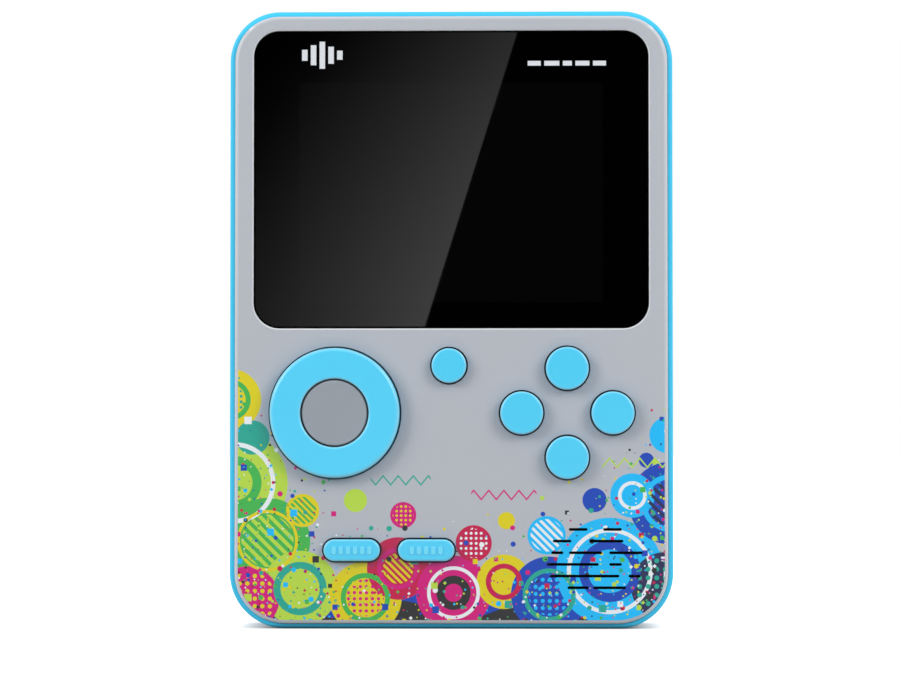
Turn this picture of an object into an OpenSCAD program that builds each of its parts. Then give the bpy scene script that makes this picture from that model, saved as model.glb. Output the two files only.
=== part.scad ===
// Handheld game console: a flat case in two shells, a screen above and keys below.
// The pieces are drawn with the case on its back: x to the right, y up the face from its
// lower edge, z from the back towards the player. stand() sets them upright on that edge.

/* [Case] */
// Width of the case
body_w = 88.4; // [87:0.2:92]
// Height of the case
body_h = 123.2; // [122:0.2:128]
// Depth of the case from its back to its face
body_t = 22; // [22:0.5:25]
// Radius of the two upper corners
top_corner_r = 10; // [9:0.5:11]
// Radius of the two lower corners
bottom_corner_r = 11.1; // [10.4:0.1:12]
// Rounding of the rear shell's back edge
back_round = 3.5; // [2.5:0.5:4]
// Wall thickness of the rear shell
wall_t = 1.8; // [1.6:0.1:2]
// Thickness of the rim that shows round the face
rim_w = 0.95; // [0.65:0.05:1]
// Depth of the rim's edge below the face
rim_drop = 1.4; // [1.2:0.1:1.7]
// Rounding of the rim's outer edge
rim_round = 0.6; // [0.4:0.1:0.6]
// Gap between the front shell and the rim
shell_gap = 0.1; // [0.05:0.05:0.15]
// Thickness of the front plate
plate_t = 2; // [1.9:0.1:2.2]
// Rounding of the face's edge
face_round = 0.9; // [0.6:0.1:1]
// Thickness of the skirt round the front plate
skirt_t = 1.1; // [1:0.1:1.2]
// Length of that skirt behind the plate
skirt_h = 2.1; // [1.8:0.1:2.4]

/* [Screen] */
// Width of the lens
lens_w = 78.5; // [77:0.1:79.4]
// Height of the lens
lens_h = 59.2; // [58:0.2:59.6]
// Distance of the lens from the upper edge of the case
lens_margin = 4.15; // [3.5:0.05:4.25]
// Corner radius of the lens
lens_corner_r = 5; // [4:0.5:6]
// Thickness of the lens
lens_t = 1.2; // [1:0.1:1.2]
// Chamfer round the lens and its recess
lens_chamfer = 0.25; // [0.15:0.05:0.35]
// Gap round the lens
lens_gap = 0.15; // [0.1:0.05:0.2]
// Thickness of the tape under the lens
tape_t = 0.15; // [0.1:0.05:0.15]
// Width of the picture area
window_w = 60.5; // [58:0.5:62]
// Height of the picture area
window_h = 43.9; // [42:0.1:45]
// Distance of the picture area below the upper edge of the lens
window_drop = 10.5; // [9.7:0.05:10.7]
// Width of the LCD glass
lcd_w = 69; // [67:0.5:70]
// Height of the LCD glass
lcd_h = 53; // [51:0.5:53.5]
// Thickness of the LCD glass
lcd_t = 1.4; // [1.2:0.1:1.5]

/* [Direction pad] */
// Distance of the key groups from the middle of the case
cluster_x = 23.1; // [22.8:0.1:23.6]
// Distance of the key groups' middle below the lens
cluster_drop = 16.95; // [16:0.05:18]
// Diameter of the pad
dpad_d = 25.8; // [25:0.1:26]
// Height of the pad above the face
dpad_h = 2.6; // [2.3:0.1:3]
// Diameter of the pad's middle hole
dpad_hole_d = 13.6; // [13:0.1:14.4]
// Gap round the pad's cap
dpad_cap_gap = 0.3; // [0.2:0.05:0.4]
// Depth of the cap below the pad's top
dpad_cap_drop = 0.6; // [0.5:0.1:1]
// Gap round the pad in the face
dpad_gap = 0.35; // [0.25:0.05:0.4]
// Distance of the pad's domes from its middle
dpad_dome_x = 8.6; // [8.2:0.1:8.8]
// Radius of the pivot ball
ball_r = 1.5; // [1.3:0.1:1.5]

/* [Buttons] */
// Diameter of an action button
action_d = 8.5; // [8:0.1:9]
// Distance of the left and right action buttons from the middle of their group
action_x = 9.05; // [8.8:0.05:9.2]
// Distance of the top and bottom action buttons from the middle of their group
action_y = 8.85; // [8.6:0.05:9.2]
// Height of the action buttons above the face
action_h = 2.1; // [1.7:0.1:2.5]
// Diameter of the small round button
reset_d = 6.9; // [6.4:0.1:7.4]
// Offset of the small round button from the middle of the case
reset_x = -0.4; // [-0.8:0.1:0]
// Distance of the small round button's middle below the lens
reset_drop = 7.55; // [7:0.05:8.5]
// Height of the small round button above the face
reset_h = 1.7; // [1.5:0.1:2.1]
// Length of a menu button
menu_w = 11.2; // [10.6:0.1:11.8]
// Width of a menu button
menu_d = 4.3; // [4:0.1:5]
// Offset of the left menu button from the middle of the case
left_menu_x = -19.7; // [-20.4:0.1:-19.4]
// Offset of the right menu button from the middle of the case
right_menu_x = -4.9; // [-5.2:0.1:-4.4]
// Height of the menu buttons above the lower edge
menu_y = 15.65; // [14.65:0.1:16.65]
// Height of the menu buttons above the face
menu_h = 1.5; // [1.4:0.1:1.9]
// Gap round every button in the face
key_gap = 0.34; // [0.2:0.02:0.36]
// Rounding of the keys' top edges
key_round = 0.5; // [0.3:0.1:0.6]
// Width of the flange that keeps a key in the case
flange_w = 0.9; // [0.7:0.1:1]
// Travel of a pressed button
key_travel = 1.2; // [0.8:0.1:1.2]

/* [Speaker] */
// Distance of the speaker's middle from the right side of the case
speaker_side = 15.8; // [15.4:0.1:16]
// Height of the speaker above the lower edge
speaker_y = 14; // [13.8:0.1:15]
// Diameter of the speaker
speaker_d = 17; // [15:0.5:17]
// Width of a grille slot
slot_w = 0.55; // [0.45:0.05:0.7]
// Distance between the rows of slots
slot_pitch = 2.31; // [2.1:0.01:2.31]

/* [Battery] */
// Width of the battery
battery_w = 34; // [32:0.5:34.5]
// Height of the battery
battery_h = 53; // [51:0.5:53.5]
// Thickness of the battery
battery_t = 5.6; // [5:0.1:5.8]
// Width of the battery cover
cover_w = 40; // [39.5:0.5:42]
// Thickness of the battery cover
cover_t = 1.6; // [1.5:0.1:1.6]
// Gap round the battery cover
cover_gap = 0.25; // [0.2:0.05:0.3]
// Height of the cover's hinge line above the lower edge
hinge_y = 10; // [9.5:0.1:10.5]
// Radius of the cover's hinge pins
hinge_pin_r = 0.5; // [0.4:0.05:0.5]

/* [Sockets and controls] */
// Offset of the power switch from the middle of the case
switch_x = -20; // [-20.5:0.5:-16]
// Travel of the power switch
switch_travel = 3; // [2:0.5:3]
// Offset of the AV jack from the middle of the case
jack_x = 20; // [16:0.5:21]
// Radius of the AV jack's bore
jack_bore_r = 1.8; // [1.8:0.05:1.9]
// Height of the volume wheel above the lower edge
wheel_y = 95; // [88:0.5:98]
// Diameter of the volume wheel
wheel_d = 14; // [13:0.5:14]
// Thickness of the volume wheel
wheel_t = 2.2; // [1.8:0.1:2.2]
// Clearance of a part that turns on a pin
running_gap = 0.05; // [0.03:0.01:0.08]

/* [Hidden] */
$fn = 64;
SIDES = ["right", "top", "left", "bottom"];
MENU_SIDES = ["left", "right"];

// Overshoot of a cut past the face that it opens
cut = 1;
// Gap between two faces that only lie close to each other
slip = 0.1;
GRAY = "#b8bcc4";
BLUE = "#5ad0f5";
RUBBER = "#4a4d52";
STEEL = "#b9bcc0";
BLACK = "#141416";

// Levels from the back to the face
face_z = body_t;
plate_z = face_z - plate_t;
rim_z = face_z - rim_drop;
skirt_z = plate_z - skirt_h;
board_gap = 5.4;
board_t = 1.6;
board_z = plate_z - board_gap;
board_back_z = board_z - board_t;
overall_t = face_z + max(dpad_h, action_h, reset_h, menu_h);
face_inset = rim_w + shell_gap;

// Screen
lens_top_y = body_h - lens_margin;
lens_y = lens_top_y - lens_h / 2;
lens_z = face_z - slip / 2;
tape_z = lens_z - lens_t;
recess_z = tape_z - tape_t - slip / 2;
recess_w = lens_w + 2 * lens_gap;
recess_h = lens_h + 2 * lens_gap;
window_y = lens_top_y - window_drop - window_h / 2;
lcd_z = plate_z - slip - lcd_t;
backlight_t = 0.9;
tray_floor = 0.6;
tray_wall = 0.7;
tray_z = lcd_z - backlight_t - tray_floor;
tray_w = lcd_w + 2 * (slip + tray_wall);
tray_h = lcd_h + 2 * (slip + tray_wall);
tray_rise = 0.9;
tray_bottom_y = window_y - tray_h / 2;
tray_lap = 0.55;
foam_inset = 4.5;
foam_w = lcd_w - 2 * foam_inset;
foam_h = lcd_h - 2 * foam_inset;
ribbon_x = 9.9;
ribbon_w = 9;
ribbon_t = 0.25;
connector_w = 9.8;
connector_d = 3;
connector_t = 1.4;
connector_drop = 4.5;
connector_y = tray_bottom_y - connector_drop;
ribbon_run = 1.3;
ribbon_step_y = tray_bottom_y - ribbon_run;
ribbon_step = 1;
tape_inset = 1;
window_gap = 0.5;
tape_window_gap = 2;

// Keys and rubber mats, below the lens and the tray behind it
key_field_y = min(lens_top_y - lens_h, tray_bottom_y + tray_lap);
cluster_y = key_field_y - cluster_drop;
reset_y = key_field_y - reset_drop;
mat_t = 0.8;
mat_gap = 0.5;
key_flange_t = 1;
key_flange_z = plate_z - slip / 2 - key_flange_t;
dome_room = 0.15;
dome_rest_z = board_z + key_travel + dome_room;
dome_r = 3;
small_dome_r = 2.4;
dome_taper = 0.8;
dome_wall = 0.6;
dome_roof = 0.9;
pill_inset = 0.2;
pill_share = 0.37;
mat_corner_r = 5;
small_mat_r = 2;
reset_mat_w = 9.2;
menu_mat_h = 8;
menu_mat_margin = 6;
mat_side = 2 * (action_x * cos(45) + mat_corner_r);
menu_mid_x = (left_menu_x + right_menu_x) / 2;

// Direction pad
dpad_r = dpad_d / 2;
dpad_z = face_z + dpad_h;
pivot_rise = 0.4;
pivot_z = plate_z + pivot_rise;
pivot_web = 0.6;
dpad_seat_z = pivot_z + ball_r + running_gap + pivot_web;
dpad_cap_z = dpad_z - dpad_cap_drop;
dpad_wall = 1.4;
dpad_flange_drop = 1.4;
dpad_flange_z = plate_z - dpad_flange_drop;
dpad_flange_t = 0.9;
dpad_edge_r = 0.8;
dpad_cap_round = 0.4;
dpad_leg_r = 2;
dpad_dome_r = 2.8;
dpad_dome_drop = 1.6;
dpad_dome_z = plate_z - dpad_dome_drop;
dpad_dome_room = 1.1;
dpad_dome_rest_z = board_z + dpad_dome_room;
post_r = 2.2;
post_foot_r = 2.4;

// Screws
boss_r = 2.2;
boss_inset = face_inset + skirt_t + boss_r + 3 * slip;
tunnel_r = 3.1;
tunnel_foot_z = 1.5;
tunnel_seat_z = 6;
tunnel_z = 7.6;
head_hole_r = 2.2;
case_shank_r = 0.95;
case_head_r = 1.9;
case_head_t = 1.4;
case_screw_z = 15;
board_post_r = 2.1;
board_shank_r = 0.8;
board_head_r = 1.7;
board_head_t = 1.1;
board_screw_reach = 3.6;
board_screw_z = board_z + board_screw_reach;
screw_gap = 0.05;
board_edge = 4;
board_y0 = 8.8;
board_top_gap = 1;
board_y1 = body_h - top_corner_r - board_top_gap;
tab_inset = 10;
tab_x = body_w / 2 - tab_inset;
tab_gap = 1.7;
tab_y1 = body_h - wall_t - tab_gap;
chip_x = 11;
chip_drop = 36;
chip_y = body_h - chip_drop;
chip_w = 12;
chip_h = 8;
chip_t = 1.2;
potting_r = 6;
potting_slope = 0.7;
potting_taper = 2;
cross_l = 1.2;
cross_w = 0.3;
// Inset of a screw from both sides of a corner, on the corner's diagonal
function corner_inset(r) = r - (r - boss_inset) * cos(45);
CASE_SCREWS = [
    for (side = [-1, 1]) [side * (body_w / 2 - corner_inset(top_corner_r)),
        body_h - corner_inset(top_corner_r)],
    for (side = [-1, 1]) [side * (body_w / 2 - corner_inset(bottom_corner_r)),
        corner_inset(bottom_corner_r)]
];
side_screw_inset = 5.8;
side_screw_drop = 2.6;
tab_screw_inset = 3.5;
tab_screw_drop = 6.2;
low_screw_y = 33;
BOARD_SCREWS = [
    for (side = [-1, 1]) [side * (body_w / 2 - side_screw_inset), tray_bottom_y - side_screw_drop],
    for (side = [-1, 1]) [side * (tab_x - tab_screw_inset), body_h - tab_screw_drop],
    [0, low_screw_y]
];

// Speaker
speaker_x = body_w / 2 - speaker_side;
speaker_r = speaker_d / 2;
screen_t = 0.3;
speaker_front_z = plate_z - screen_t;
speaker_t = 3;
speaker_back_z = speaker_front_z - speaker_t;
magnet_r = 5;
magnet_t = 1.5;
rib_t = 0.7;
rib_h = 2;
basket_t = 0.8;
basket_lap = 1;
cone_drop = 0.4;
cone_t = 0.3;
cone_depth = 1.2;
cone_neck_r = 2.6;
cone_crown = 0.4;
lug_reach = 2.5;
lug_w = 4;
lug_t = 0.6;
wire_r = 0.35;
wire_bend_r = 1.2;
wire_gap = 1.2;
wire_run = 0.8;
// Each row of slots from the lowest up: start and end of every slot, from the speaker's middle
SLOTS = [
    [[-5.3, -1.1], [-0.2, 6.3]],
    [[-8.8, 5], [6.8, 9.2]],
    [[-9.4, 0.9], [3, 5.5]],
    [[-8.5, -6.1], [-5, 1.6], [3, 9.6]],
    [[-8.2, -4.5], [-0.9, 5.8]],
    [[-5, -1.3], [1.8, 5.5]]
];

// Battery bay
cover_r = cover_t / 2;
bay_gap = 0.3;
bay_side_gap = 1.2;
bay_rise = 2.6;
bay_y = hinge_y + bay_rise;
battery_y = bay_y + bay_gap;
battery_top_y = battery_y + battery_h;
battery_z = cover_t + bay_gap;
battery_corner_r = 2;
contact_room = 1.8;
contact_reach = 1.2;
bay_h = battery_h + bay_gap + contact_room;
bay_w = battery_w + 2 * bay_side_gap;
bay_z = battery_z + battery_t + bay_gap;
bay_wall = 1.4;
cover_lap = 1.6;
cover_top_y = bay_y + bay_h + cover_lap;
pad_side = 3;
pad_w = cover_w + 2 * pad_side;
pad_z = 3;
pad_foot_z = 1;
hinge_pin_l = 1.5;
contact_w = 2;
contact_t = 0.3;
contact_pitch = 5;
contact_low = 1.5;
contact_bend = 3;
tongue_w = 5;
tongue_x = 11;
tongue_t = 0.7;
tongue_l = 1.6;
grooves = 5;
groove_top = 3;
groove_w = 16;
groove_pitch = 1.8;
groove_d = 0.8;
groove_t = 0.4;
nail_r = 4.5;
nail_t = 0.9;
pad_margin = 2.5;

// Sockets along the upper edge, and the side wheel
port_gap = 0.1;
usb_w = 8.94;
usb_t = 3.2;
usb_l = 7.3;
usb_wall = 0.3;
usb_back = 1;
usb_tongue_w = 6.7;
usb_tongue_t = 0.7;
usb_tongue_inset = 0.8;
usb_z = board_back_z - port_gap - usb_t / 2;
usb_inset = 0.6;
usb_hole_gap = 0.25;
jack_w = 6.2;
jack_t = 5.2;
jack_l = 11.5;
jack_floor = 1.2;
jack_z = board_back_z - port_gap - jack_t / 2;
jack_hole_r = 2.7;
switch_w = 8.6;
switch_t = 3.6;
switch_l = 5.2;
switch_z = board_back_z - port_gap - switch_t / 2;
stem_w = 1.8;
stem_t = 1.2;
stem_l = 1.4;
knob_w = 4;
knob_t = 2.4;
knob_recess = 1.05;
knob_gap = 0.4;
ridges = 3;
ridge_pitch = 1.1;
ridge_w = 0.4;
ridge_d = 0.3;
wheel_r = wheel_d / 2;
wheel_x = body_w / 2 - slip - wheel_r;
volume_r = 4.5;
volume_t = 1.5;
wheel_z = board_back_z - volume_t - 2 * slip - wheel_t;
shaft_r = 1.5;
rivet_r = 2.4;
rivet_t = 0.5;
knurls = 28;
knurl_r = 0.4;
wheel_slot_gap = 0.3;
wheel_slot_l = 10.6;
scoop_r = 14;
scoop_d = 0.9;
scoop_t = 7;

// Upright, with the face towards -y and the depth centred
module stand() {
    translate([0, overall_t / 2, 0]) rotate([90, 0, 0]) children();
}

// Carries a profile round a rounded outline that stands on y = 0. The profile is drawn from the
// middle outwards, and takes its outer radius from $reach.
module swept(w, h, lower_r, upper_r) {
    for (side = [0, 1]) mirror([side, 0, 0]) {
        if (h > lower_r + upper_r) {
            translate([0, h - upper_r, 0]) rotate([90, 0, 0])
                linear_extrude(h - upper_r - lower_r) let ($reach = w / 2) children();
        }
        if (w > 2 * lower_r) {
            translate([w / 2 - lower_r, lower_r, 0]) rotate([90, 0, -90])
                linear_extrude(w / 2 - lower_r) let ($reach = lower_r) children();
        }
        if (w > 2 * upper_r) {
            translate([0, h - upper_r, 0]) rotate([90, 0, 90])
                linear_extrude(w / 2 - upper_r) let ($reach = upper_r) children();
        }
        translate([w / 2 - lower_r, lower_r, 0]) rotate([0, 0, -90])
            rotate_extrude(angle = 90) let ($reach = lower_r) children();
        translate([w / 2 - upper_r, h - upper_r, 0])
            rotate_extrude(angle = 90) let ($reach = upper_r) children();
    }
}

// What is cut off a square corner to round it
module corner_waste(r) {
    difference() {
        square(r + cut);
        circle(r);
    }
}

// A straight edge, rounded towards the back and the face where a radius is given
module edge_profile(z0, z1, back, front) {
    difference() {
        translate([0, z0]) square([$reach, z1 - z0]);
        if (back > 0) {
            translate([$reach - back, z0 + back]) mirror([0, 1]) corner_waste(back);
        }
        if (front > 0) {
            translate([$reach - front, z1 - front]) corner_waste(front);
        }
    }
}

// A rounded slab, centred on x and standing on y = 0
module slab(w, h, z0, z1, lower_r, upper_r, back = 0, front = 0) {
    swept(w, h, lower_r, upper_r) edge_profile(z0, z1, back, front);
}

// A rounded slab, centred on x and y
module plate(w, h, z0, z1, r, front = 0) {
    translate([0, -h / 2, 0]) slab(w, h, z0, z1, r, r, 0, front);
}

// A slab that follows the outline of the case
module case_slab(inset, z0, z1, back = 0, front = 0) {
    translate([0, inset, 0])
        slab(body_w - 2 * inset, body_h - 2 * inset, z0, z1,
            bottom_corner_r - inset, top_corner_r - inset, back, front);
}

// A box given by its middle in x and y and its two levels
module block(w, h, z0, z1) {
    translate([-w / 2, -h / 2, z0]) cube([w, h, z1 - z0]);
}

module at_each(places) {
    for (p = places) translate([p[0], p[1], 0]) children();
}

module at_action(i) {
    translate([cluster_x, cluster_y, 0]) rotate([0, 0, 90 * i])
        translate([i % 2 == 0 ? action_x : action_y, 0, 0]) children();
}

module at_menu(i) {
    translate([i == 0 ? left_menu_x : right_menu_x, menu_y, 0]) children();
}

// The recess for the lens, with a chamfer at the face
module recess_profile() {
    polygon([
        [0, recess_z],
        [$reach, recess_z],
        [$reach, face_z - lens_chamfer],
        [$reach + lens_chamfer + cut, face_z + cut],
        [0, face_z + cut]
    ]);
}

module lens_profile() {
    polygon([
        [0, tape_z],
        [$reach, tape_z],
        [$reach, lens_z - lens_chamfer],
        [$reach - lens_chamfer, lens_z],
        [0, lens_z]
    ]);
}

module key_holes() {
    translate([0, 0, plate_z - cut]) {
        translate([-cluster_x, cluster_y, 0]) cylinder(h = plate_t + 2 * cut, r = dpad_r + dpad_gap);
        for (i = [0:3]) at_action(i) cylinder(h = plate_t + 2 * cut, r = action_d / 2 + key_gap);
        translate([reset_x, reset_y, 0]) cylinder(h = plate_t + 2 * cut, r = reset_d / 2 + key_gap);
    }
    for (i = [0, 1]) at_menu(i)
        plate(menu_w + 2 * key_gap, menu_d + 2 * key_gap, plate_z - cut, face_z + cut,
            menu_d / 2 + key_gap);
}

// Room behind the plate for the keys' flanges
module key_pockets() {
    pocket_h = plate_z - board_z;
    translate([0, 0, board_z]) {
        for (i = [0:3]) at_action(i) cylinder(h = pocket_h, r = action_d / 2 + flange_w + key_gap);
        translate([reset_x, reset_y, 0]) cylinder(h = pocket_h, r = reset_d / 2 + flange_w + key_gap);
    }
}

module speaker_slots() {
    for (row = [0:len(SLOTS) - 1], s = SLOTS[row])
        translate([speaker_x + (s[0] + s[1]) / 2,
            speaker_y + (row - (len(SLOTS) - 1) / 2) * slot_pitch, 0])
            plate(s[1] - s[0], slot_w, plate_z - cut, face_z + cut, slot_w / 2);
}

module front_shell() {
    color(GRAY) stand() difference() {
        union() {
            difference() {
                case_slab(face_inset, skirt_z, face_z, 0, face_round);
                case_slab(face_inset + skirt_t, skirt_z - cut, plate_z);
            }
            at_each(CASE_SCREWS) translate([0, 0, tunnel_z + slip / 2])
                cylinder(h = plate_z - tunnel_z, r = boss_r);
            at_each(BOARD_SCREWS) translate([0, 0, board_z])
                cylinder(h = recess_z - board_z, r = board_post_r);
            translate([speaker_x, speaker_y, plate_z - rib_h]) difference() {
                cylinder(h = rib_h + slip, r = speaker_r + slip + rib_t);
                translate([0, 0, -cut]) cylinder(h = rib_h + cut, r = speaker_r + slip);
            }
        }
        translate([0, lens_y - recess_h / 2, 0])
            swept(recess_w, recess_h, lens_corner_r + lens_gap, lens_corner_r + lens_gap) recess_profile();
        translate([0, window_y, 0])
            block(window_w + 2 * window_gap, window_h + 2 * window_gap, plate_z - cut, face_z);
        key_holes();
        key_pockets();
        speaker_slots();
        at_each(CASE_SCREWS) translate([0, 0, tunnel_z - cut])
            cylinder(h = case_screw_z + cut - tunnel_z + cut, r = case_shank_r + screw_gap);
        at_each(BOARD_SCREWS) translate([0, 0, board_z - cut])
            cylinder(h = board_screw_z - board_z + slip + cut, r = board_shank_r + screw_gap);
    }
}

// Opening, ledge and hinge sockets for the battery and its cover
module bay_cut() {
    translate([0, bay_y + bay_h / 2, 0]) block(bay_w, bay_h, cover_t - cut, bay_z);
    cover_y0 = hinge_y - cover_r - cover_gap;
    cover_y1 = cover_top_y + cover_gap;
    translate([0, (cover_y0 + cover_y1) / 2, 0])
        block(cover_w + 2 * cover_gap, cover_y1 - cover_y0, -cut, cover_t + slip / 2);
    for (side = [-1, 1]) translate([side * (cover_w / 2 + hinge_pin_l / 2), hinge_y, cover_r])
        rotate([0, 90, 0])
            cylinder(h = hinge_pin_l + 2 * slip, r = hinge_pin_r + running_gap, center = true);
    translate([0, cover_top_y, -cut]) cylinder(h = nail_t + cut, r = nail_r);
    for (i = [-1:1]) translate([i * contact_pitch, battery_top_y + contact_reach - contact_t / 2, 0])
        block(contact_w + 4 * slip, contact_t + 4 * slip, bay_z - cut, bay_z + bay_wall + cut);
}

module port_cuts() {
    translate([0, body_h - wall_t - cut, usb_z]) rotate([-90, 0, 0])
        plate(usb_w + 2 * usb_hole_gap, usb_t + 2 * usb_hole_gap, 0, wall_t + 2 * cut,
            usb_t / 2 + usb_hole_gap);
    translate([jack_x, body_h - wall_t - cut, jack_z]) rotate([-90, 0, 0])
        cylinder(h = wall_t + 2 * cut, r = jack_hole_r);
    translate([switch_x, body_h, switch_z]) {
        block(knob_w + switch_travel + 2 * knob_gap, 2 * knob_recess,
            -knob_t / 2 - knob_gap, knob_t / 2 + knob_gap);
        block(stem_w + switch_travel + 4 * slip, 2 * wall_t + 2 * cut,
            -stem_t / 2 - 2 * slip, stem_t / 2 + 2 * slip);
    }
    wheel_slot = wheel_t + 2 * wheel_slot_gap;
    translate([body_w / 2, wheel_y, wheel_z + wheel_t / 2]) {
        block(2 * (wall_t + cut), wheel_slot_l, -wheel_slot / 2, wheel_slot / 2);
        translate([scoop_r - scoop_d, 0, -scoop_t / 2]) cylinder(h = scoop_t, r = scoop_r);
    }
}

module rear_shell() {
    color(BLUE) stand() difference() {
        union() {
            difference() {
                case_slab(0, 0, rim_z, back_round, rim_round);
                case_slab(wall_t, wall_t, rim_z + cut);
                case_slab(rim_w, skirt_z - slip, rim_z + cut);
            }
            translate([0, bay_y + bay_h / 2, 0])
                block(bay_w + 2 * bay_wall, bay_h + 2 * bay_wall, pad_foot_z, bay_z + bay_wall);
            translate([0, (hinge_y + cover_top_y + nail_r) / 2, 0])
                block(pad_w, cover_top_y + nail_r - hinge_y + 2 * pad_margin, pad_foot_z, pad_z);
            at_each(CASE_SCREWS) translate([0, 0, tunnel_foot_z])
                cylinder(h = tunnel_z - tunnel_foot_z, r = tunnel_r);
        }
        bay_cut();
        port_cuts();
        at_each(CASE_SCREWS) {
            translate([0, 0, -cut]) cylinder(h = tunnel_seat_z + cut, r = head_hole_r);
            cylinder(h = tunnel_z + cut, r = case_shank_r + 4 * screw_gap);
        }
    }
}

module screen_lens() {
    color(BLACK) stand() translate([0, lens_y - lens_h / 2, 0])
        swept(lens_w, lens_h, lens_corner_r, lens_corner_r) lens_profile();
}

module lens_tape() {
    color("#2b2b2d") stand() difference() {
        translate([0, lens_y, 0])
            plate(lens_w - 2 * tape_inset, lens_h - 2 * tape_inset, tape_z - tape_t, tape_z,
                lens_corner_r - tape_inset);
        translate([0, window_y, 0])
            block(window_w + 2 * tape_window_gap, window_h + 2 * tape_window_gap,
                recess_z - cut, tape_z + cut);
    }
}

module lcd_panel() {
    color("#1c1f24") stand() translate([0, window_y, 0])
        block(lcd_w, lcd_h, lcd_z, lcd_z + lcd_t);
}

module lcd_backlight() {
    color("#f2f2ee") stand() translate([0, window_y, 0])
        block(lcd_w, lcd_h, lcd_z - backlight_t, lcd_z);
}

module lcd_frame() {
    color(STEEL) stand() translate([0, window_y, 0]) difference() {
        block(tray_w, tray_h, tray_z, lcd_z + tray_rise);
        block(lcd_w + 2 * slip, lcd_h + 2 * slip, tray_z + tray_floor, lcd_z + tray_rise + cut);
    }
}

module lcd_foam_pad() {
    color("#3a3a3c") stand() translate([0, window_y, 0]) block(foam_w, foam_h, board_z, tray_z);
}

// A flat strip that leaves the tray's lower edge and steps down to its connector
module lcd_ribbon() {
    high_z = tray_z + tray_floor;
    low_z = board_z + connector_t / 2;
    end_y = connector_y + connector_d / 2;
    foot_y = ribbon_step_y - ribbon_step;
    color("#c98a2e") stand() translate([ribbon_x - ribbon_w / 2, 0, 0]) rotate([90, 0, 90])
        linear_extrude(ribbon_w) polygon([
            [tray_bottom_y, high_z],
            [ribbon_step_y, high_z],
            [foot_y, low_z],
            [end_y, low_z],
            [end_y, low_z + ribbon_t],
            [foot_y - ribbon_t / 2, low_z + ribbon_t],
            [ribbon_step_y - ribbon_t / 2, high_z + ribbon_t],
            [tray_bottom_y, high_z + ribbon_t]
        ]);
}

module lcd_connector() {
    color("#ece8dc") stand() translate([ribbon_x, connector_y, 0])
        block(connector_w, connector_d, board_z, board_z + connector_t);
}

module main_board() {
    board_w = body_w - 2 * board_edge;
    color("#1d6b45") stand() difference() {
        union() {
            translate([0, (board_y0 + board_y1) / 2, 0])
                block(board_w, board_y1 - board_y0, board_back_z, board_z);
            translate([0, (board_y1 + tab_y1) / 2, 0])
                block(2 * tab_x, tab_y1 - board_y1, board_back_z, board_z);
        }
        at_each(BOARD_SCREWS) translate([0, 0, board_back_z - cut])
            cylinder(h = board_t + 2 * cut, r = board_shank_r + 4 * screw_gap);
    }
}

// A flat round drop of potting with a sloped edge
module processor() {
    color(BLACK) stand() translate([-chip_x, chip_y, board_back_z]) mirror([0, 0, 1]) {
        cylinder(h = chip_t - potting_slope, r = potting_r);
        translate([0, 0, chip_t - potting_slope])
            cylinder(h = potting_slope, r1 = potting_r, r2 = potting_r - potting_taper);
    }
}

module memory_chip() {
    color("#202226") stand() translate([chip_x, chip_y, 0])
        block(chip_w, chip_h, board_back_z - chip_t, board_back_z);
}

module dpad_profile() {
    difference() {
        union() {
            translate([dpad_r - dpad_wall, dpad_flange_z - dpad_flange_t])
                square([dpad_wall, dpad_z - dpad_flange_z + dpad_flange_t]);
            translate([0, pivot_z + pivot_web]) square([dpad_r, dpad_seat_z - pivot_z - pivot_web]);
            translate([dpad_hole_d / 2, pivot_z + pivot_web])
                square([dpad_r - dpad_hole_d / 2, dpad_z - pivot_z - pivot_web]);
            translate([dpad_r - dpad_wall, dpad_flange_z - dpad_flange_t])
                square([2 * dpad_wall, dpad_flange_t]);
        }
        translate([dpad_r - dpad_edge_r, dpad_z - dpad_edge_r]) corner_waste(dpad_edge_r);
        translate([dpad_hole_d / 2 + key_round, dpad_z - key_round]) mirror([1, 0]) corner_waste(key_round);
    }
}

module dpad_ring() {
    color(BLUE) stand() translate([-cluster_x, cluster_y, 0]) difference() {
        union() {
            rotate_extrude($fn = 96) dpad_profile();
            for (i = [0:3]) rotate([0, 0, 90 * i]) translate([dpad_dome_x, 0, dpad_dome_z])
                cylinder(h = pivot_z + pivot_web + slip - dpad_dome_z, r = dpad_leg_r);
        }
        translate([0, 0, pivot_z]) sphere(ball_r + running_gap);
    }
}

module dpad_cap() {
    color("#969ca6") stand() translate([-cluster_x, cluster_y, 0]) rotate_extrude($fn = 96)
        let ($reach = dpad_hole_d / 2 - dpad_cap_gap)
            edge_profile(dpad_seat_z, dpad_cap_z, 0, dpad_cap_round);
}

// A hollow rubber dome with the contact pill in its middle
module dome(r, z0, z1) {
    rotate_extrude() polygon([
        [0, z0 + pill_inset],
        [pill_share * r, z0 + pill_inset],
        [pill_share * r, z1 - dome_roof],
        [r - dome_taper - dome_wall, z1 - dome_roof],
        [r - dome_wall, z0],
        [r, z0],
        [r - dome_taper, z1],
        [0, z1]
    ]);
}

module dpad_domes() {
    color(RUBBER) stand() translate([-cluster_x, cluster_y, 0])
        for (i = [0:3]) rotate([0, 0, 90 * i]) translate([dpad_dome_x, 0, 0])
            dome(dpad_dome_r, dpad_dome_rest_z, dpad_dome_z);
}

module dpad_pivot_ball() {
    color(STEEL) stand() translate([-cluster_x, cluster_y, pivot_z]) sphere(ball_r);
}

module dpad_pivot_post() {
    color("#d9d9d4") stand() translate([-cluster_x, cluster_y, 0]) difference() {
        union() {
            translate([0, 0, board_z]) cylinder(h = pivot_z - pivot_web - board_z, r = post_r);
            translate([0, 0, board_z]) cylinder(h = mat_t, r = post_foot_r);
        }
        translate([0, 0, pivot_z]) sphere(ball_r + running_gap);
    }
}

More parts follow.
